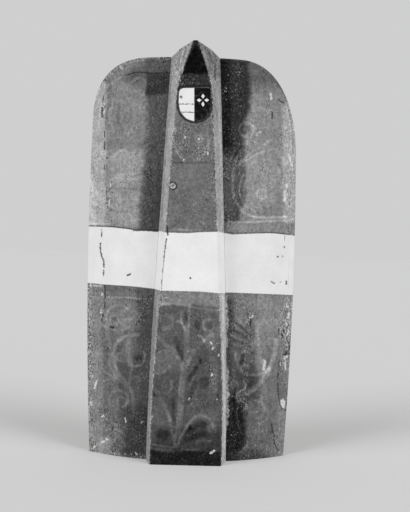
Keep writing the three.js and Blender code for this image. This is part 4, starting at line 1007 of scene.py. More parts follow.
LEFT_LOSSES = {
    "side loss": [(1.8, [(97.2, 380.6), (95.8, 384), (94.8, 388.6)])],
    "edge flake": [
        (1.6, [(90.6, 402), (90.4, 404.6)]), (1.2, [(92.4, 375.6), (92.6, 377)]),
        (1.6, [(90.4, 342.5), (92, 343.4)]), (1.4, [(91.4, 404.5), (92, 405.6)])],
    "upper joint flake": [(1.4, [(100.6, 310), (101, 312.6)]), (1.2, [(101.8, 316.4), (102.4, 318)])],
    "low crack's flake": [(1.5, [(102.4, 293.6), (102.2, 296)])],
    "flake under the band": [(1.7, [(90.6, 284), (90.4, 286.6)])],
    "foot flake": [
        (1.8, [(101.8, 442), (104, 440.8)]), (1.5, [(107.6, 438.6), (108.2, 439.6)]),
        (1.6, [(102, 416.6), (104, 415.4)]), (1.3, [(125.4, 418), (125.6, 422)]),
        (1.2, [(141.4, 422), (142.4, 421.6)]), (1.2, [(135.6, 452), (136.6, 454)]),
        (1.6, [(106.8, 438.5), (106.8, 440)])],
    "foot corner flake": [(1.6, [(92.6, 448.4), (94.6, 446.8)])],
    "joint flake": [
        (1.4, [(110.4, 184.2), (110.6, 186.8)]), (1.3, [(109.2, 201.4), (109, 205.2)]),
        (1.3, [(100.4, 106.4), (100.8, 109.6)]), (1.1, [(104.2, 110.6), (104.4, 112.2)])],
    "shoulder flake": [(1.5, [(120.4, 66.4), (121.6, 67.8)]), (1.2, [(103.6, 82.6), (104.2, 83.6)])],
    "line under the band": [(0.8, [(89.6, 285.8), (103, 285.8)])],
}
RIGHT_LOSSES = {
    "upper loss": [(2.0, [(270.7, 93.5), (270.9, 99)])],
    "edge loss": [
        (2.0, [(289, 154.6), (290.6, 161), (292.2, 166)]), (2.2, [(286.7, 184.6), (286.7, 187.2)]),
        (2.4, [(284.7, 191), (285, 195), (284.6, 200.4)])],
    "slit edge": [(1.1, [(249.8, 317.8), (251.8, 316.9), (253, 315.4)])],
    "stem loss": [(2.6, [(264.8, 361), (264.4, 365), (263.6, 369.6)])],
    "chip": [(5.2, [(282.4, 401.6), (282.8, 405.6)])],
    "rim loss": [
        (2.0, [(286.8, 304), (287.4, 306.4)]), (1.8, [(288.8, 313), (288.2, 318.6)]),
        (1.6, [(286.2, 322.4), (287, 324.6)]), (1.6, [(288.4, 330.6), (287.8, 334.4)]),
        (2.2, [(284.6, 358.4), (287.6, 355.6)]), (2.0, [(285, 362), (285.2, 368.6)]),
        (1.4, [(280, 362.4), (280, 365)]), (1.2, [(288.4, 348.6), (287, 351)])],
}

# The white band, across each wing
BAND = {
    -1: [
        (80, 226.2), (88.6, 226.5), (112.5, 227.4), (132.6, 229.8), (161.3, 231.2), (166, 232.7),
        (175, 232.7), (175, 291.2), (161.3, 290.6), (153.7, 288.7), (132.6, 286.3), (103.9, 284.4),
        (89.6, 282.9), (80, 282.6)],
    1: [
        (215, 232), (225.4, 233.2), (233, 234.6), (240.7, 234.1), (266.6, 233.2), (276, 233.4),
        (295.3, 235.8), (305, 236.2), (305, 295.3), (292.5, 295), (232, 292.5), (215, 292.5)],
}

# Wear: extra flecks, share, softness, outline
LEFT_WEAR = {
    "dark corner": (0.6, 1, 4, [(146, 60), (172, 56), (170, 104), (146, 104)]),
    "valley": (0.8, 1, 5, [(143, 104), (168, 104), (163, 233), (141, 233)]),
    "edge": (0.9, 1, 3, box(80, 150, 97, 480)),
    "lower valley": (0.9, 1, 5, [(137, 290), (165, 290), (158, 470), (134, 470)]),
    "plank joint": (0.9, 1, 2, [(98, 300), (106, 300), (108, 360), (100, 360)]),
    "foot": (0.8, 1, 8, box(80, 412, 160, 480)),
    "foot's patch": (1.4, 1, 3, [(98, 408), (112, 408), (116, 424), (100, 426)]),
    "upper rim": (1.4, 1, 2, [
        (172, 52), (172, 60), (146, 61), (126, 64), (108, 80), (97, 100), (92, 130), (80, 130), (90, 60)]),
    "upper joint": (1.6, 1, 2, box(99, 104, 106, 114)),
    "lower joint": (1.5, 1, 2, box(106, 180, 112, 210)),
    "pale rim": (2.3, 1, 1.2, [(80, 286), (90.6, 286), (92.2, 452), (80, 460)]),
    "foot's edge": (2.3, 1, 1.2, [(80, 449), (120, 452.5), (152, 456.5), (152, 480), (80, 480)]),
}
RIGHT_WEAR = {
    "valley": (1.3, 1, 4, [(220, 55), (246, 66), (240, 215), (222, 233)]),
    "edge": (0.9, 1, 3, [(286, 90), (300, 90), (300, 480), (282, 480)]),
    "broken edge": (1.3, 1, 2, [(280, 300), (300, 300), (300, 376), (279, 376)]),
    "flaked rim": (2.6, 1, 1.5, [
        (284, 299), (300, 299), (300, 345), (285.6, 345), (282.6, 330), (285.6, 318)]),
    "foot's edge": (2.2, 1, 1.2, [
        (222, 459.5), (250, 458.5), (282, 453.5), (300, 453), (300, 480), (222, 480)]),
    "flecked patch": (1.1, 1, 2, box(265, 316, 272, 342)),
    "lower valley": (0.9, 1, 4, [(222, 296), (256, 296), (246, 396), (222, 396)]),
    "foot of the valley": (1.4, 1, 4, [(222, 390), (248, 390), (246, 470), (222, 470)]),
    "foot": (0.9, 1, 4, box(246, 424, 300, 480)),
}


# Paint of the ridge

RIDGE_BASE = 0.42
RIDGE_WASHES = {
    # Painted shade: the beak wash darkens the beak's face where it turns forward and down under its overhang
    "beak": (0.20, 1.0, 1.5, box(170, 30, 225, 88)),
    "field below the shield": (0.41, 1.0, 3, box(165, 121, 222, 163)),
    "right part": (0.41, 0.9, 4, box(200, 163, 222, 232)),
    "lower ridge": (0.34, 1.0, 2, box(130, 262, 240, 500)),
    "under the band": (0.50, 1.0, 2, box(140, 289, 225, 306)),
    "lower right part": (0.40, 0.9, 3, box(205, 304, 225, 345)),
    "lower": (0.31, 0.9, 8, box(140, 350, 225, 450)),
    "round leaf": (0.39, 0.9, 2, [
        (153.8, 357.7), (159.8, 351.7), (170.8, 350.5), (178, 356.5), (181.7, 365), (181.7, 372.3),
        (174.4, 369.8), (167.1, 373), (159.8, 375.4), (152.6, 374.5)]),
    "left lower leaf": (0.36, 0.8, 2, [
        (152, 395), (160, 397), (167, 405), (172, 424), (176, 444), (170, 444), (166, 430), (158, 424),
        (150, 426)]),
    "right lower leaf": (0.36, 0.8, 2, [
        (186, 444), (184, 432), (190, 418), (198, 411), (210, 409), (219, 412), (219, 420), (212, 421),
        (202, 417), (193, 424), (189, 436)]),
    "shade above the foot": (0.18, 0.7, 4, [(160, 429), (222, 428), (222, 452), (150, 452)]),
    "foot": (0.09, 1.0, 1.5, [(140, 450.5), (230, 451), (230, 480), (140, 480)]),
}
RIDGE_STROKES = {
    "old arc": (2.2, 0.09, [(175.3, 128), (173.9, 140), (176.8, 151.8), (184.2, 160.6)]),
    "old arc right": (2.2, 0.07, [(206, 131), (209, 140), (206, 151), (199, 160)]),
    "old ring": (1.8, 0.12, circle(199, 138.8, 3.6, 0, 300)),
    "change of paint": (1.4, -0.10, [(174, 162.8), (192, 162.8), (212, 162.9)]),
    "line over the band": (1.2, 0.16, [(171.9, 229.3), (186, 230), (199.6, 230.3)]),
    "frame line": (1.6, 0.12, [(162.3, 304), (180.5, 304.4), (196.7, 307.8), (220, 311)]),
    "stem": (5.6, 0.08, [
        (176.3, 445), (179.6, 418), (181.4, 396), (183.4, 373.7), (186.6, 352.6), (186.8, 327)]),
    "stem's left edge": (1.4, 0.06, [(174.8, 440), (177, 418), (178.6, 396), (180.6, 374)]),
    "left top stroke": (1.8, 0.13, [(181.2, 312.6), (180.9, 318), (182.6, 324), (185, 330)]),
    "right top stroke": (1.8, 0.12, [(189.5, 305), (189.4, 315), (188.6, 327)]),
    "dark between the top strokes": (2.4, -0.09, [(185.4, 312), (185.8, 320)]),
    "dark left of the stem": (4.0, -0.09, [(176, 338), (179, 350), (182.4, 360)]),
    "left shade of the stem": (3.4, -0.08, [(173.4, 398), (173.6, 412), (175, 424)]),
    "upper left leaf": (4.2, 0.07, [(166, 315), (172, 318), (171, 326), (163, 329)]),
    "branch": (3.4, 0.09, [(158.4, 336.8), (165.8, 345.3), (174.2, 349.5), (180.5, 359), (182.6, 368.4)]),
    "round leaf's edge": (2.0, 0.08, [(156.3, 353.6), (163.7, 350.5), (171, 351.6), (178.4, 358)]),
    "round leaf's foot": (2.0, 0.08, [(155.4, 373.6), (162.6, 372.4), (170, 366)]),
    "hook": (2.4, 0.09, [(171, 381), (171.4, 388.4), (165.8, 393.4), (157, 391)]),
    "left stem": (3.0, 0.05, [(160, 396), (165, 408), (170, 420)]),
    "crescent": (1.8, 0.12, [(175.4, 322.4), (178.4, 320.8), (181.4, 323.4), (184.4, 327.6)]),
    "right crescent": (2.0, 0.16, circle(208.4, 325.3, 5.6, 120, 280)),
    "right crescent's rest": (1.6, 0.06, circle(208.4, 325.3, 5.6, 280, 440)),
    "dark in the crescent": (5.0, -0.07, [(209, 325), (210, 327)]),
    "dark beside the crescent": (5.0, -0.08, [(197, 323), (197.6, 328)]),
    "right curl": (1.8, 0.17, [(197.9, 335.8), (201.6, 336.8), (204.2, 341)]),
    "right branch": (4.0, 0.07, [(212, 334), (205, 340), (198, 347), (191.4, 356), (187, 366)]),
    "small cross stroke": (1.4, 0.10, [(187.6, 352), (191.4, 350.4), (194.6, 349.4)]),
    "pale right side": (8.0, 0.05, [(213, 348), (214, 372), (213, 396)]),
    "dark wedge": (4.2, -0.10, [(196, 367.4), (192.6, 373.6), (189.2, 380)]),
    "light on the wedge": (1.6, 0.08, [(196.4, 375.4), (192.6, 378.4), (190.4, 385)]),
    "long dark wedge": (5.2, -0.06, [(195.4, 383), (191.6, 392), (187, 402)]),
    "right eye": (8.5, -0.08, [(203.7, 381), (203.7, 384.2)]),
    "middle eye": (2.6, -0.14, [(200.6, 359.8), (200.2, 363)]),
    "arch": (2.6, 0.10, [
        (178.6, 443), (182.2, 434.7), (187.4, 425.3), (194.2, 417.6), (202.6, 415.4), (209.6, 419),
        (213.4, 426.4)]),
    "arch's dark": (7.0, -0.09, [(189.6, 431), (196, 423.6), (203.6, 424.4)]),
    "arch's lower dark": (4.6, -0.07, [(186, 440.4), (196, 436.4), (204, 434)]),
    "arch's ring": (4.6, 0.07, circle(212, 428.6, 3.0)),
    "foot strokes": (3.0, 0.08, [(196, 443), (203, 440), (209.4, 441.4)]),
    "low eye": (2.6, -0.12, [(189.6, 426.6), (190.4, 428)]),
    "low eye two": (2.6, -0.10, [(175.4, 441.4), (176.6, 442.4)]),
    "left foot shade": (9.0, -0.06, [(158, 433), (164, 434.6)]),
    "left leaf": (2.6, 0.08, [(169.4, 415.8), (171.8, 431.6), (175.3, 445.3)]),
    "base line": (1.5, 0.10, [(152.6, 444.4), (163, 446.2), (173.4, 447.6)]),
    "lower base line": (1.5, 0.08, [(152.6, 449), (171, 450)]),
    "right base line": (1.4, 0.10, [(181.6, 449.3), (200, 450.6), (219.5, 451.6)]),
}
RIDGE_BLACKS = {
    # Painted shade: the beak's triangle is near-black where its face turns down under the overhang
    "beak": [
        (195.9, 44.7), (201.8, 52), (206.2, 62.3), (209.8, 73.5), (200, 74.5), (190, 73), (182.4, 74.4),
        (184.9, 66.7), (190, 53.5)],
    "right half of the small shield": [
        (194.6, 88), (210.9, 88), (211, 103), (209.5, 112), (204, 118.8), (194.6, 121.6)],
}
RIDGE_CRACKS = {
    "small shield's edge": [
        (2.2, [(178.2, 87), (211.6, 87), (211.8, 103), (210.2, 112.5), (204.6, 119.6), (195, 122.4),
        (185.4, 119.2), (179.4, 112), (177.6, 103), (178.2, 87)])],
    "band arris": [(1.1, [(166.4, 239), (164.6, 252), (163.2, 264), (161.9, 278), (161.2, 289)])],
    "band arris's top": [(1.6, [(167.6, 227.4), (167.5, 231), (168, 235)])],
    "white half's spot": [(2.0, [(181, 96.5), (181.3, 97.8)])],
    "small shield's line": [(0.8, [(179, 104.4), (187, 104), (194, 104.4)])],
    "small shield's foot": [(0.8, [(181, 112.6), (188, 112.2), (194, 112.6)])],
    "band dot": [(1.7, [(190.2, 277.8), (190.4, 278.4)])],
    "ring outside": [(1.1, circle(172.8, 185.8, 3.8))],
    "left arris blotch": [(1.8, [(153.6, 393.6), (155, 396)])],
    "right arris blotch": [(1.4, [(217.4, 394.6), (218.4, 399)])],
    "side nick": [(1.2, [(174.6, 432), (174.9, 433)])],
}
RIDGE_DOTS = {
    "nail hole": [(1.2, [(206.5, 199.6), (206.6, 200.2)])],
}
RIDGE_LOSSES = {
    "fleck": [
        (1.5, [(185, 136.6), (185, 137.8)]), (1.5, [(199, 138.6), (199, 139.8)]),
        (1.6, [(207.6, 152.4), (207.6, 153.8)]), (1.4, [(184, 159.6), (184, 160.6)])],
    "low loss": [
        (1.8, [(210.6, 342.6), (211.4, 344.2)]), (1.6, [(212.8, 347), (212.2, 349)]),
        (1.6, [(212, 374.4), (212, 376)]), (1.5, [(217.5, 397.4), (217.5, 399)]),
        (1.5, [(189, 398.4), (189, 399.6)]), (2.0, [(210.6, 453), (214.4, 450.6)]),
        (1.5, [(218.6, 354.4), (218.6, 356)])],
    "ring": [(1.2, circle(172.8, 185.8, 2.2))],
    "left arris loss": [(1.4, [(151.4, 415.8), (151.8, 418)])],
}
RIDGE_WHITES = {
    "left half of the small shield": [
        (180.6, 89.4), (183.4, 88), (194.2, 88), (194.2, 121.6), (186, 118.6), (180.2, 111.6),
        (178.6, 103), (178.8, 92.4)],
    "upper petal": [(203, 93.6), (204.8, 96.2), (203, 99), (201.2, 96.2)],
    "lower petal": [(203, 101.4), (204.8, 104.2), (203, 107), (201.2, 104.2)],
    "left petal": [(196.6, 100.2), (199.2, 98.4), (201.8, 100.2), (199.2, 102)],
    "right petal": [(204.2, 100.2), (206.8, 98.4), (209.4, 100.2), (206.8, 102)],
    "band": [
        (140, 230.5), (161.3, 231.2), (166, 232.7), (171.9, 232.7), (188, 233.2), (199.6, 232.2),
        (217.5, 231.8), (225.4, 233.2), (240, 234), (240, 292.8), (219.3, 293.2), (199.6, 291.5),
        (161.3, 290.6), (153.7, 288.7), (140, 287)],
}
RIDGE_WEAR = {
    "beak": (0.9, 1, 2, box(160, 74, 225, 88)),
    "small shield": (0.8, 1, 2, box(194, 86, 213, 124)),
    "field": (0.8, 1, 4, box(170, 122, 216, 163)),
    "left flecks in the field": (1.5, 1, 2.5, box(180, 128, 190, 148)),
    "right flecks in the field": (1.5, 1, 2.5, box(194, 134, 211, 156)),
    "right arris": (0.9, 1, 3, [(212, 124), (218, 124), (221, 230), (212, 230)]),
    "lower ridge": (0.15, 1, 8, box(150, 300, 222, 450)),
    "upper flecks": (1.5, 1, 2, box(207, 340, 216, 352)),
    "flecked patch": (1.3, 1, 2, box(209, 366, 217, 394)),
    "flecks under the frame": (1.2, 1, 2, box(160, 290, 168, 304)),
    "lower flecks": (1.0, 1, 3, box(184, 394, 210, 406)),
    "foot": (1.1, 1, 3, [(140, 450), (225, 452), (225, 480), (140, 480)]),
}
SIDE_BASE = 0.64
SIDE_WASHES = {
    "left side of the beak": (0.62, 1, 2, box(150, 30, 192, 86)),
    "right side of the beak": (0.50, 1, 2, box(198, 30, 240, 80)),
    "right side by the small shield": (0.56, 0.8, 4, box(206, 76, 240, 122)),
    "lower left side": (0.54, 1, 4, box(130, 262, 180, 480)),
    "lower right side": (0.67, 1, 4, box(200, 262, 245, 480)),
}
SIDE_STROKES = {
    # Painted light and shade: the fold strokes on the beak are painted highlights and painted shade of folds
    # in the hide, beside the beak's right light and shade, and the left root stroke is painted shade in the
    # crease where the ridge meets the wing
    "painted shade of the beak's left fold": (1.3, -0.16, [(181.5, 48), (180, 56), (178.5, 70)]),
    "painted shade of the beak's right fold": (1.3, -0.22, [(214.6, 55), (215.2, 66), (215, 80)]),
    "painted shade at the left root": (1.2, -0.10, [(172, 60), (168, 120), (164, 180), (160.5, 232)]),
    "painted highlight of the beak's fold": (1.4, 0.14, [(183.4, 48.6), (182, 55), (180.8, 62)]),
    "painted shade of the beak's fold": (1.2, -0.16, [(186.6, 47), (184.8, 54), (183, 61)]),
    "right light of the beak": (1.6, 0.14, [(202.6, 52), (206.6, 60), (208.8, 68)]),
    "right shade of the beak": (2.6, -0.12, [(206.4, 50.4), (210.4, 57), (212, 63)]),
    "light on the lower left side": (1.2, 0.09, [
        (158.4, 296), (156, 340), (153.2, 380), (150.8, 420), (149.4, 450)]),
    "light on the lower right side": (1.8, 0.09, [(222.6, 296), (223.4, 350), (224, 400), (224.4, 455)]),
    "light on the upper right side": (1.6, 0.07, [(217.6, 84), (219.4, 120), (221, 170), (222, 228)]),
}
SIDE_WEAR = {
    "beak": (1.5, 1, 2, box(150, 30, 240, 84)),
    "lower sides": (0.8, 1, 4, box(130, 290, 245, 480)),
}

# Paint of the ridge's sides, and of the arrises between them and the face
SIDE_SOFTNESS = 1.2 * MM
ARRIS_RAGGED = 0.9 * MM
RAGGED_WAVES = (231, 16, 2, 9)
ARRIS_WEAR = 1.1
ARRIS_REACH = 5 * MM
FAR_ON_FACE = -1.0

WING_WEAR = 0.2
RIDGE_WEAR_ALL_OVER = 0.3
DARKEST_TONE = 0.03
LIGHTEST_TONE = 0.95

PAINT = {
    -1: (LEFT_BASE, LEFT_WASHES, LEFT_STROKES, LEFT_CRACKS, LEFT_LOSSES, LEFT_WEAR),
    1: (RIGHT_BASE, RIGHT_WASHES, RIGHT_STROKES, RIGHT_CRACKS, RIGHT_LOSSES, RIGHT_WEAR),
}


def wing_paint(side, points):
    """Everything that the wing's paint needs at some points."""
    spots = picture_place(points.reshape(-1, 3))
    base, washes, strokes, cracks, losses, wear = PAINT[side]
    tone = brushed(spots, washed(spots, base, washes), strokes)
    return {
        "tone": np.clip(tone, DARKEST_TONE, LIGHTEST_TONE),
        "band": marks(spots, {}, [BAND[side]]),
        "black": marks(spots, {}),
        "crack": marks(spots, cracks),
        "loss": marks(spots, losses),
        "wear": washed(spots, WING_WEAR, wear),
    }


def ridge_paint(points, from_arris):
    """Everything that the ridge's paint needs at some points, and how far inside a side they lie."""
    spots = picture_place(points.reshape(-1, 3))
    from_arris = from_arris.reshape(-1)
    ragged = ARRIS_RAGGED * random_waves(*RAGGED_WAVES)(spots[:, 0], spots[:, 1])
    side = soft_step(from_arris + ragged, SIDE_SOFTNESS)
    tone, tone_beside = (
        brushed(spots, washed(spots, base, washes), strokes)
        for base, washes, strokes in (
            (RIDGE_BASE, RIDGE_WASHES, RIDGE_STROKES), (SIDE_BASE, SIDE_WASHES, SIDE_STROKES))
    )
    worn, worn_beside = (washed(spots, RIDGE_WEAR_ALL_OVER, wear) for wear in (RIDGE_WEAR, SIDE_WEAR))
    on_face = {
        "black": marks(spots, RIDGE_DOTS, RIDGE_BLACKS.values()),
        "crack": marks(spots, RIDGE_CRACKS),
        "loss": marks(spots, RIDGE_LOSSES),
    }
    return {
        "tone": np.clip(mix(tone, tone_beside, side), DARKEST_TONE, LIGHTEST_TONE),
        "band": marks(spots, {}, RIDGE_WHITES.values()),
        **{label: np.where(side < 0.5, field, -STROKE_MARGIN) for label, field in on_face.items()},
        "wear": mix(worn, worn_beside, side) + ARRIS_WEAR * np.exp(-(from_arris / ARRIS_REACH) ** 2),
    }


# Skins of the shield

WING_ROWS = 440
WING_COLUMNS = 86
RIDGE_ROWS = 430
FLANK_STEPS = 9
FACE_STEPS = 68
ARRIS_RADIUS = 3.5 * MM
ROOT_FADE = 8 * MM
RIM_FADE = 30 * MM
WAVE_LIFT = 1.0 * MM
HIDE_WAVES = (14, 60 * MM, 240 * MM)
CRACK_DEPTH = 0.5 * MM
CRACK_SOFTNESS = 0.5

RIM_STEPS = 180
RIM_OUTER_STEPS = (9, 12, 9)
RIM_INNER_STEPS = (6, 9, 6)
RIM_RADIUS = 2 * MM
RIM_LIFT = 0.35 * MM
RIM_WAVES = (10, 30 * MM, 160 * MM)
FRONT_SHARE = 0.4
BACK_SHARE = 0.6
LIP = 5 * MM
LIP_DROP = 1.25 * MM
LIP_DROP_INSIDE = 0.4 * MM

LINING_ROWS = 280
LINING_COLUMNS = 50
LINING_LIFT = 0.3 * MM
LINING_WAVES = (14, 40 * MM, 200 * MM)

# Seeds of the waves, to which a wing's side adds -1 or 1
WING_SEED = 11
RIDGE_SEED = 5
RIM_SEED = 31
LINING_SEED = 51
STRAP_SEED = 90
GRIP_SEED = 71


def relief(values, shape, waves, fade):
    """Height of painted hide: low waves that fade towards an edge, less the grooves of its cracks."""
    groove = CRACK_DEPTH * soft_step(values["crack"].reshape(shape), CRACK_SOFTNESS)
    return WAVE_LIFT * (0.5 + 0.5 * waves) * fade - groove


def add_wing_skin(side, name, paint):
    """Painted hide over one wing: even at the back, with low waves and grooved cracks in front."""
    x, z = wing_plan(side, WING_ROWS, WING_COLUMNS)
    place = np.stack([side * x, skin_y(x), z], -1)
    values = wing_paint(side, place)
    u, v = np.linspace(0, 1, WING_COLUMNS), np.linspace(0, 1, WING_ROWS)[:, None]
    from_rim = np.minimum((1 - u) * (WAIST_HALF - RIDGE_FOOT_HALF), (1 - v) * SHIELD_HEIGHT)
    waves = random_waves(WING_SEED + side, *HIDE_WAVES)(x, z)
    lift = relief(values, x.shape, waves, smooth_share(from_rim / RIM_FADE))
    front = place - lift[..., None] * UNIT_Y
    add_sheet(name + "_wing_skin", front, place + HIDE * UNIT_Y, paint, "painted_hide",
              replaces=[name + "_wing_hide"], values=values)


def add_ridge_skin(paint):
    """Painted hide over the ridge and the beak, folded over both arrises."""
    z = SHIELD_HEIGHT * np.linspace(0, 1, RIDGE_ROWS)
    corners = ridge_corners(z)
    counts = [FLANK_STEPS, FLANK_STEPS, FACE_STEPS, FLANK_STEPS, FLANK_STEPS]
    outer, s = along_corners(corners, counts, ARRIS_RADIUS)
    out = normals(outer)
    if out[RIDGE_ROWS // 2, len(s[0]) // 2, 1] > 0:
        out = -out
    flank = np.linalg.norm(np.diff(corners[:, :3], axis=1), axis=2).sum(axis=1)[:, None]
    from_root = np.minimum(s, s[:, -1:] - s)
    values = ridge_paint(outer, flank - from_root)
    waves = random_waves(RIDGE_SEED, *HIDE_WAVES)(s, z[:, None])
    lift = relief(values, s.shape, waves, np.clip(from_root / ROOT_FADE, 0, 1))
    add_sheet("ridge_skin", outer + out * lift[..., None], outer - out * HIDE, paint, "painted_hide",
              replaces=["ridge_hide"], values=values)


def add_rim(side, name, paint, rawhide):
    """Rawhide folded round the rim: a rounded U swept from the ridge over the shoulder to the foot."""
    u = np.linspace(0, 1, RIM_STEPS)
    top = np.stack(top_edge(side, u), -1)
    down = np.stack(outer_edge(side, u[::-1]), -1)[1:]
    path = np.concatenate([top, down])
    path[-1, 1] = BINDING_LIFT
    along = np.gradient(path, axis=0)
    along[0] = (1, 0)
    along[-1] = (0, -1)
    along = unit(along)
    inward = np.stack([along[:, 1], -along[:, 0]], -1)
    stack = back_y(0.0) - skin_y(0.0) + 2 * CURVED_GAP + 2 * BINDING

    def section(edge, near, far, counts):
        """Distances in from the rim and back from the front along a U with rounded corners."""
        bends = np.array([[(BINDING_WIDTH, near), (edge, near), (edge, far), (BINDING_WIDTH, far)]])
        return along_corners(bends, counts, RIM_RADIUS)[0][0]

    outer = section(-(GAP + BINDING), 0.0, stack, RIM_OUTER_STEPS)
    inner = section(-GAP, BINDING, stack - BINDING, RIM_INNER_STEPS)[::-1]
    width, deep = np.concatenate([outer, inner]).T
    x, z = np.moveaxis(path[:, None] + inward[:, None] * width[:, None], -1, 0)
    waves = random_waves(RIM_SEED + side, *RIM_WAVES)(x, z)
    lip = smooth_share((width - BINDING_WIDTH + LIP) / LIP) * (deep < FRONT_SHARE * stack)
    drop = np.where(deep < BINDING / 2, LIP_DROP, LIP_DROP_INSIDE) * lip
    lift = RIM_LIFT * waves * (deep < BINDING) * (1 - lip) - drop
    y = skin_y(np.maximum(x, 0)) - CURVED_GAP - BINDING + deep - lift
    rings = np.stack([side * x, y, z], -1)
    behind = np.tile(deep > BACK_SHARE * stack, len(rings) - 1)
    pick = np.concatenate([behind, [False, False]]).astype(np.int32)
    add_rings(name + "_rim", rings, [paint, rawhide], "rim_binding",
              replaces=[name + "_rim_binding"], values=wing_paint(side, rings), pick=pick)


def add_lining(side, name, cloth):
    """Coarse cloth glued over the back of one wing, slightly uneven."""
    x, z = wing_plan(side, LINING_ROWS, LINING_COLUMNS, under_cheek=True)
    front = np.stack([side * x, wood_y(x) + BOARD + GAP, z], -1)
    lift = LINING_LIFT * random_waves(LINING_SEED + side, *LINING_WAVES)(x, z)
    back = front + (LINING + lift)[..., None] * UNIT_Y
    lining = add_sheet(name + "_lining_cloth", front, back, cloth, "lining_cloth",
                       replaces=[name + "_lining"])


# Fittings

STACK = HIDE + GAP + BOARD + GAP + LINING
RIVET_SHANK = 2.2 * MM
RIVET_HEAD = 6 * MM
RIVET_HEAD_HEIGHT = 2.2 * MM
RIVET_HEAD_UNDER = 0.97
RIVET_END = 3.4 * MM
RIVET_END_HEIGHT = 1.5 * MM
BRACKET_PLATE = 3 * MM
ROVE = 1.5 * MM
ROVE_HALF = 6.5 * MM
ROVE_POWER = 9
HOLE_SLACK = 0.4 * MM
TURNED_SIDES = 28
DOME_STEPS = 7
DOME_TIP = 0.06

# A rivet's closed end and a rove: pairs of radius and height, as shares of their own
RIVET_END_PROFILE = ((0.92, 0.0), (1.0, 0.3), (0.85, 0.75), (0.4, 1.0))
ROVE_PROFILE = ((0.97, 0.0), (1.0, 0.25), (1.0, 0.75), (0.96, 1.0))

NAIL_HEAD_TO_SHANK = 2.5
NAIL_HEAD_RISE = 1.1
NAIL_POINT = 0.1 * MM
PIN_SHANK = 4 * MM
PIN_HEAD = 3 * MM

# The prop's pin, at each end: radius as a share of its head's, and distance below the end
PIN_END_PROFILE = ((0.3, 0.0), (0.8, 0.3 * MM), (1.0, 1 * MM), (1.0, PIN_HEAD))

GRIP_HEIGHT = SHIELD_HEIGHT - 311 * MM
GRIP_PAD_LAP = 54 * MM
GRIP_PAD_HALF_HEIGHT = 28 * MM
GRIP_PAD = 12 * MM
GRIP_PAD_POWER = 11.0
GRIP_HAND_HALF_HEIGHT = 14 * MM
GRIP_HAND_DEPTH = 24 * MM
GRIP_HAND_POWER = 2.6
GRIP_SHOULDER_RUN = 10 * MM
GRIP_RIVET_SPREAD = 17.5 * MM
GRIP_END_RADIUS = 3 * MM
GRIP_END_SHRINK = 0.06
GRIP_WEAR = 0.5 * MM
GRIP_WAVES = (10, 25 * MM, 90 * MM)
GRIP_STATIONS = 150
GRIP_SIDES = 48
GRIP_REACH = 20 * MM

STAPLE_STEPS = 12
BOW_STEPS = 25
RING_STEPS = 96
RING_POWER = 2.3
RING_SIDES = 24
WIRE_SIDES = 20

STRAP_X = 200 * MM
STRAP_HEIGHT = SHIELD_HEIGHT - 103 * MM
STRAP_WIDTH = 30 * MM
STRAP = 3 * MM
STRAP_TAB = 20 * MM
STRAP_STAND_OFF = 5 * MM
STRAP_EASE = 110 * MM
STRAP_STEP = 1.25 * MM
STRAP_EDGE = 1.1 * MM
STRAP_EDGE_LEFT = 0.08
STRAP_SHARP_EDGE = 50
STRAP_CORNER = 6 * MM
STRAP_END_CORNER = 4 * MM
STRAP_CROWDING = math.pi / 2 * 0.85
STRAP_WAVES = (9, 20 * MM, 120 * MM)
STRAP_UNEVEN = 0.1 * MM
LINE_INSET = 2.6 * MM
LINE_WIDTH = 0.5 * MM
LINE_DEPTH = 0.25 * MM
BILLET_LENGTH = 450 * MM
BILLET_POINT = 26 * MM
BILLET_POINT_SHARE = 0.93
BILLET_HOLE = 2.5 * MM
BILLET_HOLE_SPACING = 32 * MM
BILLET_HOLES = 5
BILLET_STATIONS = 400
BUCKLE_DROP = 300 * MM
BUCKLE_STATIONS = 300
FOLD_STATIONS = 40
SEWN_GAP = 0.1 * MM
FOLD_LENGTH = 52 * MM
BUCKLE_BAR = 5 * MM
BUCKLE_WIRE = 0.98 * BUCKLE_BAR
BUCKLE_WINDOW = 24 * MM
BUCKLE_WIDTH = 46 * MM
BUCKLE_CORNER = 3 * MM
FOLD_BORE = BUCKLE_BAR / 2 * math.sqrt(2) + 0.4 * MM
BAR_Y = CURVED_GAP + STRAP_STAND_OFF + STRAP + FOLD_BORE
TONGUE_WIDTH = 4.5 * MM
TONGUE = 2.6 * MM
TONGUE_END_SHARE = 0.75
TONGUE_WRAP = 1.8 * math.pi - 0.2
TONGUE_DIP = 0.3 * MM
TONGUE_DIP_PLACE = 0.3
TONGUE_BOW = 0.4 * MM
TONGUE_BOW_PLACE = 0.7
TONGUE_SPAN_STEPS = 10
TONGUE_SIDES = 16
SLOT_HALF = TONGUE_WIDTH / 2 + 1.5 * MM
SLOT_REACH = 22 * MM
LOOP = 2 * MM
LOOP_HEIGHT = 11 * MM
LOOP_RISE = 28 * MM
LOOP_SLACK = 3.6 * MM
LOOP_CORNER = 2.2 * MM
LOOP_POWER = 6
LOOP_SIDES = 24
STITCH = 2.6 * MM
STITCH_PITCH = 3.6 * MM
STITCHES_EACH_SIDE = 3
STITCH_ROWS = (5 * MM, 10 * MM)
STITCH_RINGS = 7
STITCH_SIDES = 8
THREAD = 0.45 * MM
FORGED_POWER = 3.2
FRAME_STEP = 1.2 * MM
CORNER_STEPS = 8
TONGUE_STEP = 0.8 * MM

# Softened CAD nodes: closer points are one, flatter faces are joined, and sharper edges are bevelled
MERGE = 0.01 * MM
FLAT_ANGLE = math.radians(2)
BEVEL_ANGLE = math.radians(30)
BEVEL_SEGMENTS = 2


def superellipse(angle, power):
    """sign(cos a) |cos a|^(2 / p), and the same of sin a: a circle at 2, near a square when higher."""
    return [np.sign(wave) * np.abs(wave) ** (2 / power) for wave in (np.cos(angle), np.sin(angle))]


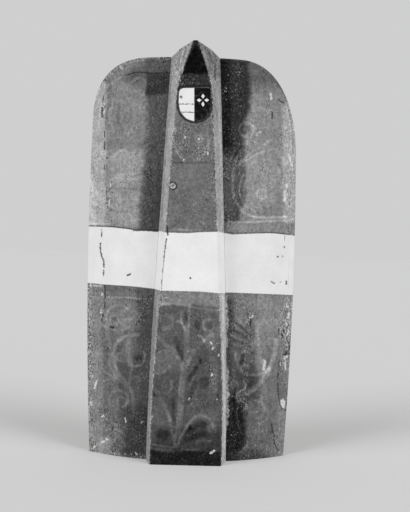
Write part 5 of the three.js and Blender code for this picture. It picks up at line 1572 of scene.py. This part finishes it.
def full_turn(sides):
    """Even angles of one whole turn."""
    return np.linspace(0, 2 * math.pi, sides, endpoint=False)


def rounded_section(width, depth, power, sides):
    """A superellipse of a size, about zero."""
    across, along = superellipse(full_turn(sides), power)
    return np.stack([across * width / 2, along * depth / 2], -1)


def swept(path, section, axes, closed=False):
    """Rings of a section along a flat path: its first number along the path's normal, its second across."""
    ahead = unit(np.roll(path, -1, 0) - np.roll(path, 1, 0) if closed else np.gradient(path, axis=0))
    normal = np.stack([-ahead[:, 1], ahead[:, 0]], -1)
    flat = path[:, None] + normal[:, None] * section[None, :, :1]
    third = np.broadcast_to(section[None, :, 1:], flat[..., :1].shape)
    return flat[..., :1] * axes[0] + flat[..., 1:] * axes[1] + third * axes[2]


def arc(centre, radius, start, end, steps):
    """Points on a circle from one angle to another."""
    angle = np.linspace(start, end, steps)
    return np.stack([centre[0] + radius * np.cos(angle), centre[1] + radius * np.sin(angle)], -1)


def even_path(path, step):
    """The same path with points at even steps along it, and its length at each."""
    length = np.concatenate([[0], np.cumsum(np.linalg.norm(np.diff(path, axis=0), axis=1))])
    s = np.linspace(0, length[-1], int(length[-1] / step) + 1)
    return np.stack([np.interp(s, length, path[:, 0]), np.interp(s, length, path[:, 1])], -1), s


def round_frame(half, near, far, radius):
    """Even points round a rectangle with round corners: one quarter arc at each, in turn."""
    places = ((half - radius, near + radius), (half - radius, far - radius),
              (radius - half, far - radius), (radius - half, near + radius))
    turns = np.arange(-1, 4) * math.pi / 2
    arcs = [arc(place, radius, turns[k], turns[k + 1], CORNER_STEPS) for k, place in enumerate(places)]
    return even_path(np.concatenate([*arcs, arcs[0][:1]]), FRAME_STEP)[0][:-1]


def corner_cut(distance, radius):
    """How far a round corner cuts in at a distance d from the end: r (1 - root(1 - (1 - d / r)^2))."""
    share = np.clip(distance / radius, 0, 1)
    return radius * (1 - np.sqrt(1 - (1 - share) ** 2))


def turned(profile, sides=TURNED_SIDES):
    """Rings about the Y axis through pairs of radius and distance along it."""
    angle = full_turn(sides)
    radius, along = np.array(profile, float).T[..., None]
    return np.stack([radius * np.cos(angle), np.repeat(along, sides, axis=1), radius * np.sin(angle)], -1)


def placed(points, turn, place):
    """Points turned about +Z and moved."""
    c, s = math.cos(turn), math.sin(turn)
    x = points[..., 0] * c - points[..., 1] * s
    y = points[..., 0] * s + points[..., 1] * c
    return np.stack([x, y, points[..., 2]], -1) + np.array(place)


def dome(radius, height, base=0.0):
    """Profile of a dome that faces -Y from its base: radius r(t) = R sin t, height h(t) = H cos t."""
    t = np.linspace(DOME_TIP, math.pi / 2, DOME_STEPS)
    return list(zip(radius * np.sin(t), base - height * np.cos(t)))


def box_of(node):
    """Middle and half-size of a CAD node's box."""
    low, high = (np.array(list(corner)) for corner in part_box(node))
    return (low + high) / 2, (high - low) / 2


def add_rivet(node, turn, place, held, paint, iron, values_at):
    """A rivet: its domed head in front is painted over, its shank and closed end behind are iron."""
    head = dome(RIVET_HEAD, RIVET_HEAD_HEIGHT, -GAP)
    seat = held + GAP
    end = [(RIVET_END * radius, seat + RIVET_END_HEIGHT * height) for radius, height in RIVET_END_PROFILE]
    shank = [(RIVET_HEAD * RIVET_HEAD_UNDER, 0.0), (RIVET_SHANK, 0.0), (RIVET_SHANK, seat)]
    rings = placed(turned(head + shank + end), turn, place)
    pick = np.arange(len(rings) - 1).repeat(TURNED_SIDES) >= len(head)
    pick = np.concatenate([pick, [False, True]]).astype(np.int32)
    add_rings(node + "_body", rings, [paint, iron], "forged_iron", replaces=[node],
              values=values_at(rings), pick=pick)


def add_rove(node, turn, place, y, iron):
    """A square plate with hammered, rounded corners round the shank, under a rivet's end."""
    outline = rounded_section(2 * ROVE_HALF, 2 * ROVE_HALF, ROVE_POWER, 2 * TURNED_SIDES)
    bore = 2 * (RIVET_SHANK + HOLE_SLACK)
    hole = rounded_section(bore, bore, 2, 2 * TURNED_SIDES)
    levels = [(hole, 0.0), *((outline * size, height * ROVE) for size, height in ROVE_PROFILE), (hole, ROVE)]
    rings = np.stack([np.stack([o[:, 0], np.full(len(o), y + height), o[:, 1]], -1) for o, height in levels])
    add_rings(node + "_plate", placed(rings, turn, place), [iron], "forged_iron", closed=True,
              replaces=[node])


def add_wing_rivets(paint, iron):
    """Rivets and roves of the grip and the straps, square to the bent wings."""
    grip_x = float(board_edge(GRIP_HEIGHT)) + GRIP_PAD_LAP / 2
    grip_turn = math.asin(grip_x / BEND_RADIUS)
    on_grip = (CURVED_GAP + GRIP_PAD) * math.cos(grip_turn)
    for hand, side in SIDES.items():
        strap = "buckle_strap" if side < 0 else "billet_strap"
        for node, x, z, more in (
            (f"grip_{hand}_upper", grip_x, GRIP_HEIGHT + GRIP_RIVET_SPREAD, on_grip),
            (f"grip_{hand}_lower", grip_x, GRIP_HEIGHT - GRIP_RIVET_SPREAD, on_grip),
            (strap, STRAP_X, STRAP_HEIGHT, CURVED_GAP + STRAP),
        ):
            angle = math.asin(x / BEND_RADIUS)
            held = STACK * math.cos(angle) + more
            place = (side * x, float(skin_y(x)), z)
            add_rivet(node + "_rivet", side * angle, place, held + ROVE + GAP, paint, iron,
                      partial(wing_paint, side))
            add_rove(node + "_rove", side * angle, place, held + GAP, iron)


def add_bracket_rivets(paint, iron):
    """Four rivets through the ridge's face and the bracket's plate."""
    held = HIDE + GAP + RIDGE_BOARD + GAP + BRACKET_PLATE
    for corner in ("upper_left", "upper_right", "lower_left", "lower_right"):
        node = f"bracket_{corner}_rivet"
        middle, _ = box_of(node)
        add_rivet(node, 0.0, (middle[0], FRONT_Y, middle[2]), held, paint, iron,
                  lambda points: ridge_paint(points, np.full(points.shape[:-1], FAR_ON_FACE)))


def add_nails(iron):
    """The button's and the shoe's nails, whose heads face back, and the prop's pin."""
    for node, body in (("turn_button_nail", "shield"), ("prop_shoe_nail", "prop")):
        middle, half = box_of(node)
        radius, length = half[0], 2 * half[1]
        shank = radius / NAIL_HEAD_TO_SHANK
        head = dome(radius, NAIL_HEAD_RISE * shank, shank)
        rings = turned(head + [(shank, shank), (shank, length - shank), (NAIL_POINT, length)])
        rings[..., 1] = half[1] - rings[..., 1]
        add_rings(node + "_body", rings + middle, [iron], "forged_iron", body=body, replaces=[node])
    middle, (half, _, head) = box_of("prop_pin")
    end = [(head * radius, half - below) for radius, below in PIN_END_PROFILE]
    shank = [(PIN_SHANK, PIN_HEAD - half), (PIN_SHANK, half - PIN_HEAD)]
    rings = turned([(radius, -along) for radius, along in end] + shank + end[::-1])[..., [1, 0, 2]]
    add_rings("prop_pin_body", rings + middle * (0, 1, 1), [iron], "forged_iron", replaces=["prop_pin"])


def add_grip(ash):
    """The carved grip: flat pads on the linings, and a hand-worn oval bar between them."""
    inner = float(board_edge(GRIP_HEIGHT))
    end = inner + GRIP_PAD_LAP
    x = end * np.sin(np.linspace(-math.pi / 2, math.pi / 2, GRIP_STATIONS))[:, None]
    out = np.abs(x)
    hand = 1 - smooth_share((out - inner + 2 * GRIP_SHOULDER_RUN) / (2 * GRIP_SHOULDER_RUN))
    seat = back_y(np.maximum(out, inner)) + CURVED_GAP
    deep = mix(GRIP_PAD, GRIP_HAND_DEPTH, hand)
    tall = mix(GRIP_PAD_HALF_HEIGHT, GRIP_HAND_HALF_HEIGHT, hand)
    shrink = 1 - GRIP_END_SHRINK * corner_cut(end - out, GRIP_END_RADIUS) / GRIP_END_RADIUS
    y, z = superellipse(full_turn(GRIP_SIDES), mix(GRIP_PAD_POWER, GRIP_HAND_POWER, hand))
    wear = GRIP_WEAR * random_waves(GRIP_SEED, *GRIP_WAVES)(x, y * GRIP_REACH) * hand
    rings = np.stack([
        np.broadcast_to(x, y.shape),
        seat + deep / 2 + y * (deep / 2 * shrink),
        GRIP_HEIGHT + z * (tall * shrink) + wear,
    ], -1)
    add_rings("grip_carved", rings, [ash], "ash_wood", replaces=["grip_bar"])


def add_ring_and_staple(iron):
    """The staple, a round wire bent into a U, and the ring that hangs in it."""
    middle, half = box_of("ring_staple")
    wire = half[0]
    bow = half[2] - wire
    root, eye = middle[1] - half[1], middle[1] + half[1] - wire - bow
    leg = np.linspace(root, eye, STAPLE_STEPS, endpoint=False)
    path = np.concatenate([
        np.stack([leg, np.full(STAPLE_STEPS, middle[2] - bow)], -1),
        arc((eye, middle[2]), bow, -math.pi / 2, math.pi / 2, BOW_STEPS),
        np.stack([leg[::-1], np.full(STAPLE_STEPS, middle[2] + bow)], -1),
    ])
    rings = swept(path, rounded_section(2 * wire, 2 * wire, 2, WIRE_SIDES), (UNIT_Y, UNIT_Z, UNIT_X))
    add_rings("ring_staple_wire", rings, [iron], "forged_iron", replaces=["ring_staple"])
    middle, half = box_of("hanging_ring")
    wire = half[1]
    path = arc((0.0, middle[2]), half[0] - wire, 0, 2 * math.pi, RING_STEPS + 1)[:-1]
    section = rounded_section(2 * wire, 2 * wire, RING_POWER, RING_SIDES)
    rings = swept(path, section, (UNIT_X, UNIT_Z, UNIT_Y), closed=True)
    add_rings("hanging_ring_wire", rings + middle[1] * UNIT_Y, [iron], "forged_iron", closed=True,
              body="ring", replaces=["hanging_ring"])


def strap_place(side, points):
    """Moves points from a strap's own axes, x across, y away from the shield and z up, to the shield."""
    angle = math.asin(STRAP_X / BEND_RADIUS)
    depth = STACK * math.cos(angle)
    place = (side * (STRAP_X - depth * math.sin(angle)), float(skin_y(STRAP_X)) + depth * math.cos(angle),
             STRAP_HEIGHT)
    return placed(points, side * angle, place)


def stand_off(drop):
    """Distance of a strap's near face from the lining, at a drop below its rivet."""
    return CURVED_GAP + STRAP_STAND_OFF * smooth_share((drop - STRAP_TAB) / (STRAP_EASE - STRAP_TAB))


def add_strap(name, side, path, half_width, opening, leather, node):
    """A leather strip along a path of y and z: thin rounded edges, pressed edge lines, and cut openings.

    Half-width is a function of the length s, and opening of u and s: the distance inside a hole.
    """
    middle, s = even_path(path, STRAP_STEP)
    ahead = unit(np.gradient(middle, axis=0))
    normal = np.stack([ahead[:, 1], -ahead[:, 0]], -1)
    columns = int(STRAP_WIDTH / STRAP_STEP) + 1
    share = np.sin(np.linspace(-1, 1, columns) * STRAP_CROWDING) / math.sin(STRAP_CROWDING)
    u = half_width(s)[:, None] * share
    grid_s = np.broadcast_to(s[:, None], u.shape)
    from_edge = half_width(s)[:, None] - np.abs(u)
    edge = np.clip(from_edge / STRAP_EDGE, 0, 1)
    thick = STRAP / 2 * np.sqrt(np.maximum(1 - (1 - edge) ** 2, STRAP_EDGE_LEFT))
    line = LINE_DEPTH * np.exp(-((from_edge - LINE_INSET) / LINE_WIDTH) ** 2)
    uneven = STRAP_UNEVEN * random_waves(STRAP_SEED + side, *STRAP_WAVES)(u, grid_s)

    def at(offset):
        flat = middle[:, None] + normal[:, None] * offset[..., None]
        return strap_place(side, np.stack([u, flat[..., 0], flat[..., 1]], -1)).reshape(-1, 3)

    points = np.concatenate([at(thick - line + uneven), at(uneven - thick)])
    faces = sheet_faces(*u.shape)
    hole = opening(u, grid_s)
    cut = (hole[:-1, :-1] + hole[:-1, 1:] + hole[1:, 1:] + hole[1:, :-1]) / 4 > 0
    on_rim = np.zeros(len(faces) - 2 * cut.size, bool)
    kept = ~np.concatenate([cut.reshape(-1), cut.reshape(-1), on_rim])
    index = np.arange(u.size).reshape(u.shape)
    walls = []
    for a, b, first, second in (
        (cut[:, :-1], cut[:, 1:], index[:-1, 1:-1], index[1:, 1:-1]),
        (cut[:-1], cut[1:], index[1:-1, 1:], index[1:-1, :-1]),
    ):
        for mask, p, q in ((a & ~b, first, second), (b & ~a, second, first)):
            walls.append(quads(p[mask], q[mask], q[mask] + u.size, p[mask] + u.size))
    faces = np.concatenate([faces[kept], *walls])
    if encloses(points, faces) < 0:
        faces = faces[:, ::-1]
    add_piece(name, points, faces.tolist(), [leather], "strap_leather", replaces=[node],
              sharp=STRAP_SHARP_EDGE)


def add_stitches(name, side, rows, thread):
    """Sewn stitches: short thread bows on a strap's far face, from pairs of end points in its own axes."""
    points, faces = [], []
    bow = np.linspace(0, math.pi, STITCH_RINGS)[:, None]
    angle = full_turn(STITCH_SIDES)[:, None]
    size = STITCH_RINGS * STITCH_SIDES
    for count, (start, end) in enumerate(np.array(rows)):
        across = unit(np.cross(end - start, UNIT_Y))
        spine = start + (end - start) * (0.5 - 0.5 * np.cos(bow)) + UNIT_Y * (THREAD * np.sin(bow))
        ring = spine[:, None] + THREAD * (across * np.cos(angle) + UNIT_Y * np.sin(angle))
        points.append(ring.reshape(-1, 3))
        base = count * size
        faces += (tube_faces(STITCH_RINGS, STITCH_SIDES) + base).tolist()
        faces += [list(range(base, base + STITCH_SIDES))[::-1],
                  list(range(base + size - STITCH_SIDES, base + size))]
    points = strap_place(side, np.concatenate(points))
    if encloses(points, np.array([face for face in faces if len(face) == 4])) < 0:
        faces = [face[::-1] for face in faces]
    add_piece(name, points, faces, [thread], "strap_leather")


def add_billet(leather):
    """The right strap half: pointed end, five punched holes."""
    drop = np.linspace(-STRAP_TAB, BILLET_LENGTH, BILLET_STATIONS)
    path = np.stack([stand_off(drop) + STRAP / 2, -drop], -1)
    total = even_path(path, STRAP_STEP)[1][-1]
    centres = total - (2 * BILLET_POINT + BILLET_HOLE_SPACING * np.arange(BILLET_HOLES))

    def half_width(s):
        left = np.clip((total - s) / BILLET_POINT, 0, 1)
        return STRAP_WIDTH / 2 * (1 - (1 - left) ** 2 * BILLET_POINT_SHARE) - corner_cut(s, STRAP_CORNER)

    def opening(u, s):
        return np.max([BILLET_HOLE - np.hypot(u, s - c) for c in centres], axis=0)

    add_strap("billet_leather", 1, path, half_width, opening, leather, "billet_strap")


def add_buckle_strap(leather, thread):
    """The left strap half, folded round the buckle's bar and sewn down, with the tongue's slot."""
    round_bar = FOLD_BORE + STRAP / 2
    drop = np.linspace(-STRAP_TAB, BUCKLE_DROP, BUCKLE_STATIONS)
    near = np.stack([stand_off(drop) + STRAP / 2, -drop], -1)
    fold = arc((BAR_Y, -BUCKLE_DROP), round_bar, math.pi, 2 * math.pi, FOLD_STATIONS)[1:]
    sewn = CURVED_GAP + STRAP_STAND_OFF + 1.5 * STRAP + SEWN_GAP
    rise = FOLD_LENGTH * np.linspace(0, 1, FOLD_STATIONS)[1:]
    leave = smooth_share((rise - FOLD_BORE) / (FOLD_LENGTH / 2 - FOLD_BORE))
    back = np.stack([mix(BAR_Y + round_bar, sewn, leave), rise - BUCKLE_DROP], -1)
    path = np.concatenate([near, fold, back])
    total = even_path(path, STRAP_STEP)[1][-1]
    fold_middle = even_path(near, STRAP_STEP)[1][-1] + round_bar * math.pi / 2
    reach = round_bar * math.pi / 2 + SLOT_REACH

    def half_width(s):
        return STRAP_WIDTH / 2 - corner_cut(s, STRAP_CORNER) - corner_cut(total - s, STRAP_END_CORNER)

    def opening(u, s):
        return np.minimum(SLOT_HALF - np.abs(u), reach - np.abs(s - fold_middle))

    add_strap("buckle_leather", -1, path, half_width, opening, leather, "buckle_strap")
    face = sewn + STRAP / 2
    rows = [
        ((k * STITCH_PITCH - STITCH / 2, face, z), (k * STITCH_PITCH + STITCH / 2, face, z))
        for z in (FOLD_LENGTH - BUCKLE_DROP - below for below in STITCH_ROWS)
        for k in range(-STITCHES_EACH_SIDE, STITCHES_EACH_SIDE + 1)
    ]
    add_stitches("fold_stitches", -1, rows, thread)


def add_buckle(iron):
    """The buckle's frame, a bar bent round its window, and its tongue, wrapped round the frame's top bar."""
    bar = np.array([0, BAR_Y, -BUCKLE_DROP])
    low = -(BUCKLE_WINDOW + BUCKLE_BAR / 2)
    path = round_frame((BUCKLE_WIDTH - BUCKLE_BAR) / 2, 0.0, -low, BUCKLE_CORNER) * (1, -1)
    section = rounded_section(BUCKLE_WIRE, BUCKLE_WIRE, FORGED_POWER, WIRE_SIDES)
    rings = swept(path, section, (UNIT_X, UNIT_Z, UNIT_Y), closed=True)
    add_rings("buckle_bar", strap_place(-1, rings + bar), [iron], "forged_iron", closed=True, body="buckle",
              replaces=["buckle_frame"])
    wrap = FOLD_BORE + TONGUE / 2
    near = BUCKLE_BAR / 2 + GAP + TONGUE / 2
    tip = low - BUCKLE_BAR / 2
    arm = [(wrap, 0.0), (wrap - TONGUE_DIP, TONGUE_DIP_PLACE * tip),
           (near + TONGUE_BOW, TONGUE_BOW_PLACE * tip), (near, tip)]
    eye = arc((0, 0), wrap, -TONGUE_WRAP, 0, FOLD_STATIONS)[:-1]
    path = even_path(np.concatenate([eye, smooth_line(arm, TONGUE_SPAN_STEPS)]), TONGUE_STEP)[0]
    s = np.linspace(0, 1, len(path))
    section = rounded_section(TONGUE, TONGUE_WIDTH, FORGED_POWER, TONGUE_SIDES)
    rings = swept(path, section, (UNIT_Y, UNIT_Z, UNIT_X))
    rings[..., 0] *= mix(1.0, TONGUE_END_SHARE, s**3)[:, None]
    add_rings("buckle_tongue_bar", strap_place(-1, rings + bar), [iron], "forged_iron", body="tongue",
              replaces=["buckle_tongue"])


def add_loop(leather):
    """The closed leather loop that holds the billet's end above the buckle."""
    half = STRAP_WIDTH / 2 + GAP + LOOP / 2
    near = CURVED_GAP + STRAP_STAND_OFF - GAP - LOOP / 2
    far = CURVED_GAP + STRAP_STAND_OFF + 2 * STRAP + LOOP_SLACK + LOOP / 2
    path = round_frame(half, near, far, LOOP_CORNER)
    section = rounded_section(LOOP, LOOP_HEIGHT, LOOP_POWER, LOOP_SIDES)
    rings = swept(path, section, (UNIT_X, UNIT_Y, UNIT_Z), closed=True)
    rings[..., 2] += -BUCKLE_DROP + LOOP_RISE + LOOP_HEIGHT / 2
    add_rings("strap_loop_leather", strap_place(-1, rings), [leather], "strap_leather", closed=True,
              replaces=["strap_loop"])


def soften(node, body, material, width):
    """A copy of a CAD node with its triangles merged into faces and its edges bevelled."""
    mesh = frame["nodes"][node].data.copy()
    work = bmesh.new()
    work.from_mesh(mesh)
    bmesh.ops.remove_doubles(work, verts=work.verts, dist=MERGE)
    bmesh.ops.dissolve_limit(work, angle_limit=FLAT_ANGLE, verts=work.verts, edges=work.edges)
    work.to_mesh(mesh)
    work.free()
    smooth_mesh(mesh, SHARP_EDGE, [material])
    piece = link(node + "_softened", mesh)
    bevel = piece.modifiers.new("edges", "BEVEL")
    bevel.width = width
    bevel.segments = BEVEL_SEGMENTS
    bevel.limit_method = "ANGLE"
    bevel.angle_limit = BEVEL_ANGLE
    bevel.harden_normals = True
    ride(piece, body, [node])


# Making the scene

add_stage()
add_camera()

# Glued distemper over gesso on hide: matt and dusty, worn down to the pale gesso and the dark wood. Its tone
# also holds painted shade along the crease beside the ridge and on the beak
front_paint = painted_hide("distemper_on_hide")

# Planed poplar, left bare: a pale brown, dull face with a long soft grain up the boards
wood = plain_material("planed_poplar", "#6e5c44", "#a28e70", 5 * MM, 0.7, stretch=16)

# Ash shaved with a drawknife: straight open grain along the piece, with a faint sheen. Its rings, about
# 2 mm apart, are drawn at 3.5 mm, so that they show
ash = plain_material("shaved_ash", "#86704f", "#b39c79", 3.5 * MM, 0.5, stretch=18)

# The same ash where hands have worn it: darker and smoother, with its grain across the shield
grip_ash = plain_material("hand_worn_ash", "#7d6747", "#ad9572", 3.5 * MM, 0.4, stretch=18, axis=0)

# Forged iron, left from the fire: nearly black, half glossy, with small hammer marks
iron = plain_material("forged_iron", "#312f2d", "#524f4b", 5 * MM, 0.5, metallic=0.9)

# Oiled cowhide, cut and edge-creased: deep brown and dull, a little uneven where oil has soaked in. Its
# grain of about 1 mm is drawn at 4 mm, so that it shows
leather = plain_material("oiled_leather", "#38291d", "#5d4530", 4 * MM, 0.55)

# Waxed linen thread, twisted: pale against the leather. Its twist is drawn at 2 mm, so that it shows
thread = plain_material("waxed_linen_thread", "#a8977a", "#c2b193", 2 * MM, 0.7)

# Rawhide, folded wet and dried hard: yellowish and cloudy, half dull
rawhide = plain_material("bare_rawhide", "#85734f", "#ad9a79", 10 * MM, 0.6)

# Coarse hand-woven linen soaked in glue: brown and matt. Its threads are about 1 mm apart, which is too
# fine to show in the render, so the weave is drawn at 4 mm
cloth = plain_material("glued_coarse_linen", "#453829", "#6f5c46", 12 * MM, 0.85, stretch=2, weave=4 * MM)

for hand, side in SIDES.items():
    add_wing_skin(side, hand, front_paint)
    add_rim(side, hand, front_paint, rawhide)
    add_lining(side, hand, cloth)
add_ridge_skin(front_paint)
add_wing_rivets(front_paint, iron)
add_bracket_rivets(front_paint, iron)
add_nails(iron)
add_grip(grip_ash)
add_ring_and_staple(iron)
add_billet(leather)
add_buckle_strap(leather, thread)
add_buckle(iron)
add_loop(leather)
soften("prop_leg", "prop", ash, 0.8 * MM)
soften("prop_shoe", "prop", iron, 0.4 * MM)
soften("prop_bracket", "shield", iron, 0.5 * MM)
soften("turn_button", "button", ash, 1.0 * MM)

# CAD nodes keep their mesh and take the finish of their slot
finishes = {"board_wood": wood, "ash_wood": ash, "forged_iron": iron, "strap_leather": leather}
for part in frame["record"]["subparts"]:
    if part["material_slot"] in finishes:
        data = frame["nodes"][part["node"]].data
        data.materials.clear()
        data.materials.append(finishes[part["material_slot"]])

bpy.context.scene.view_settings.view_transform = "Standard"
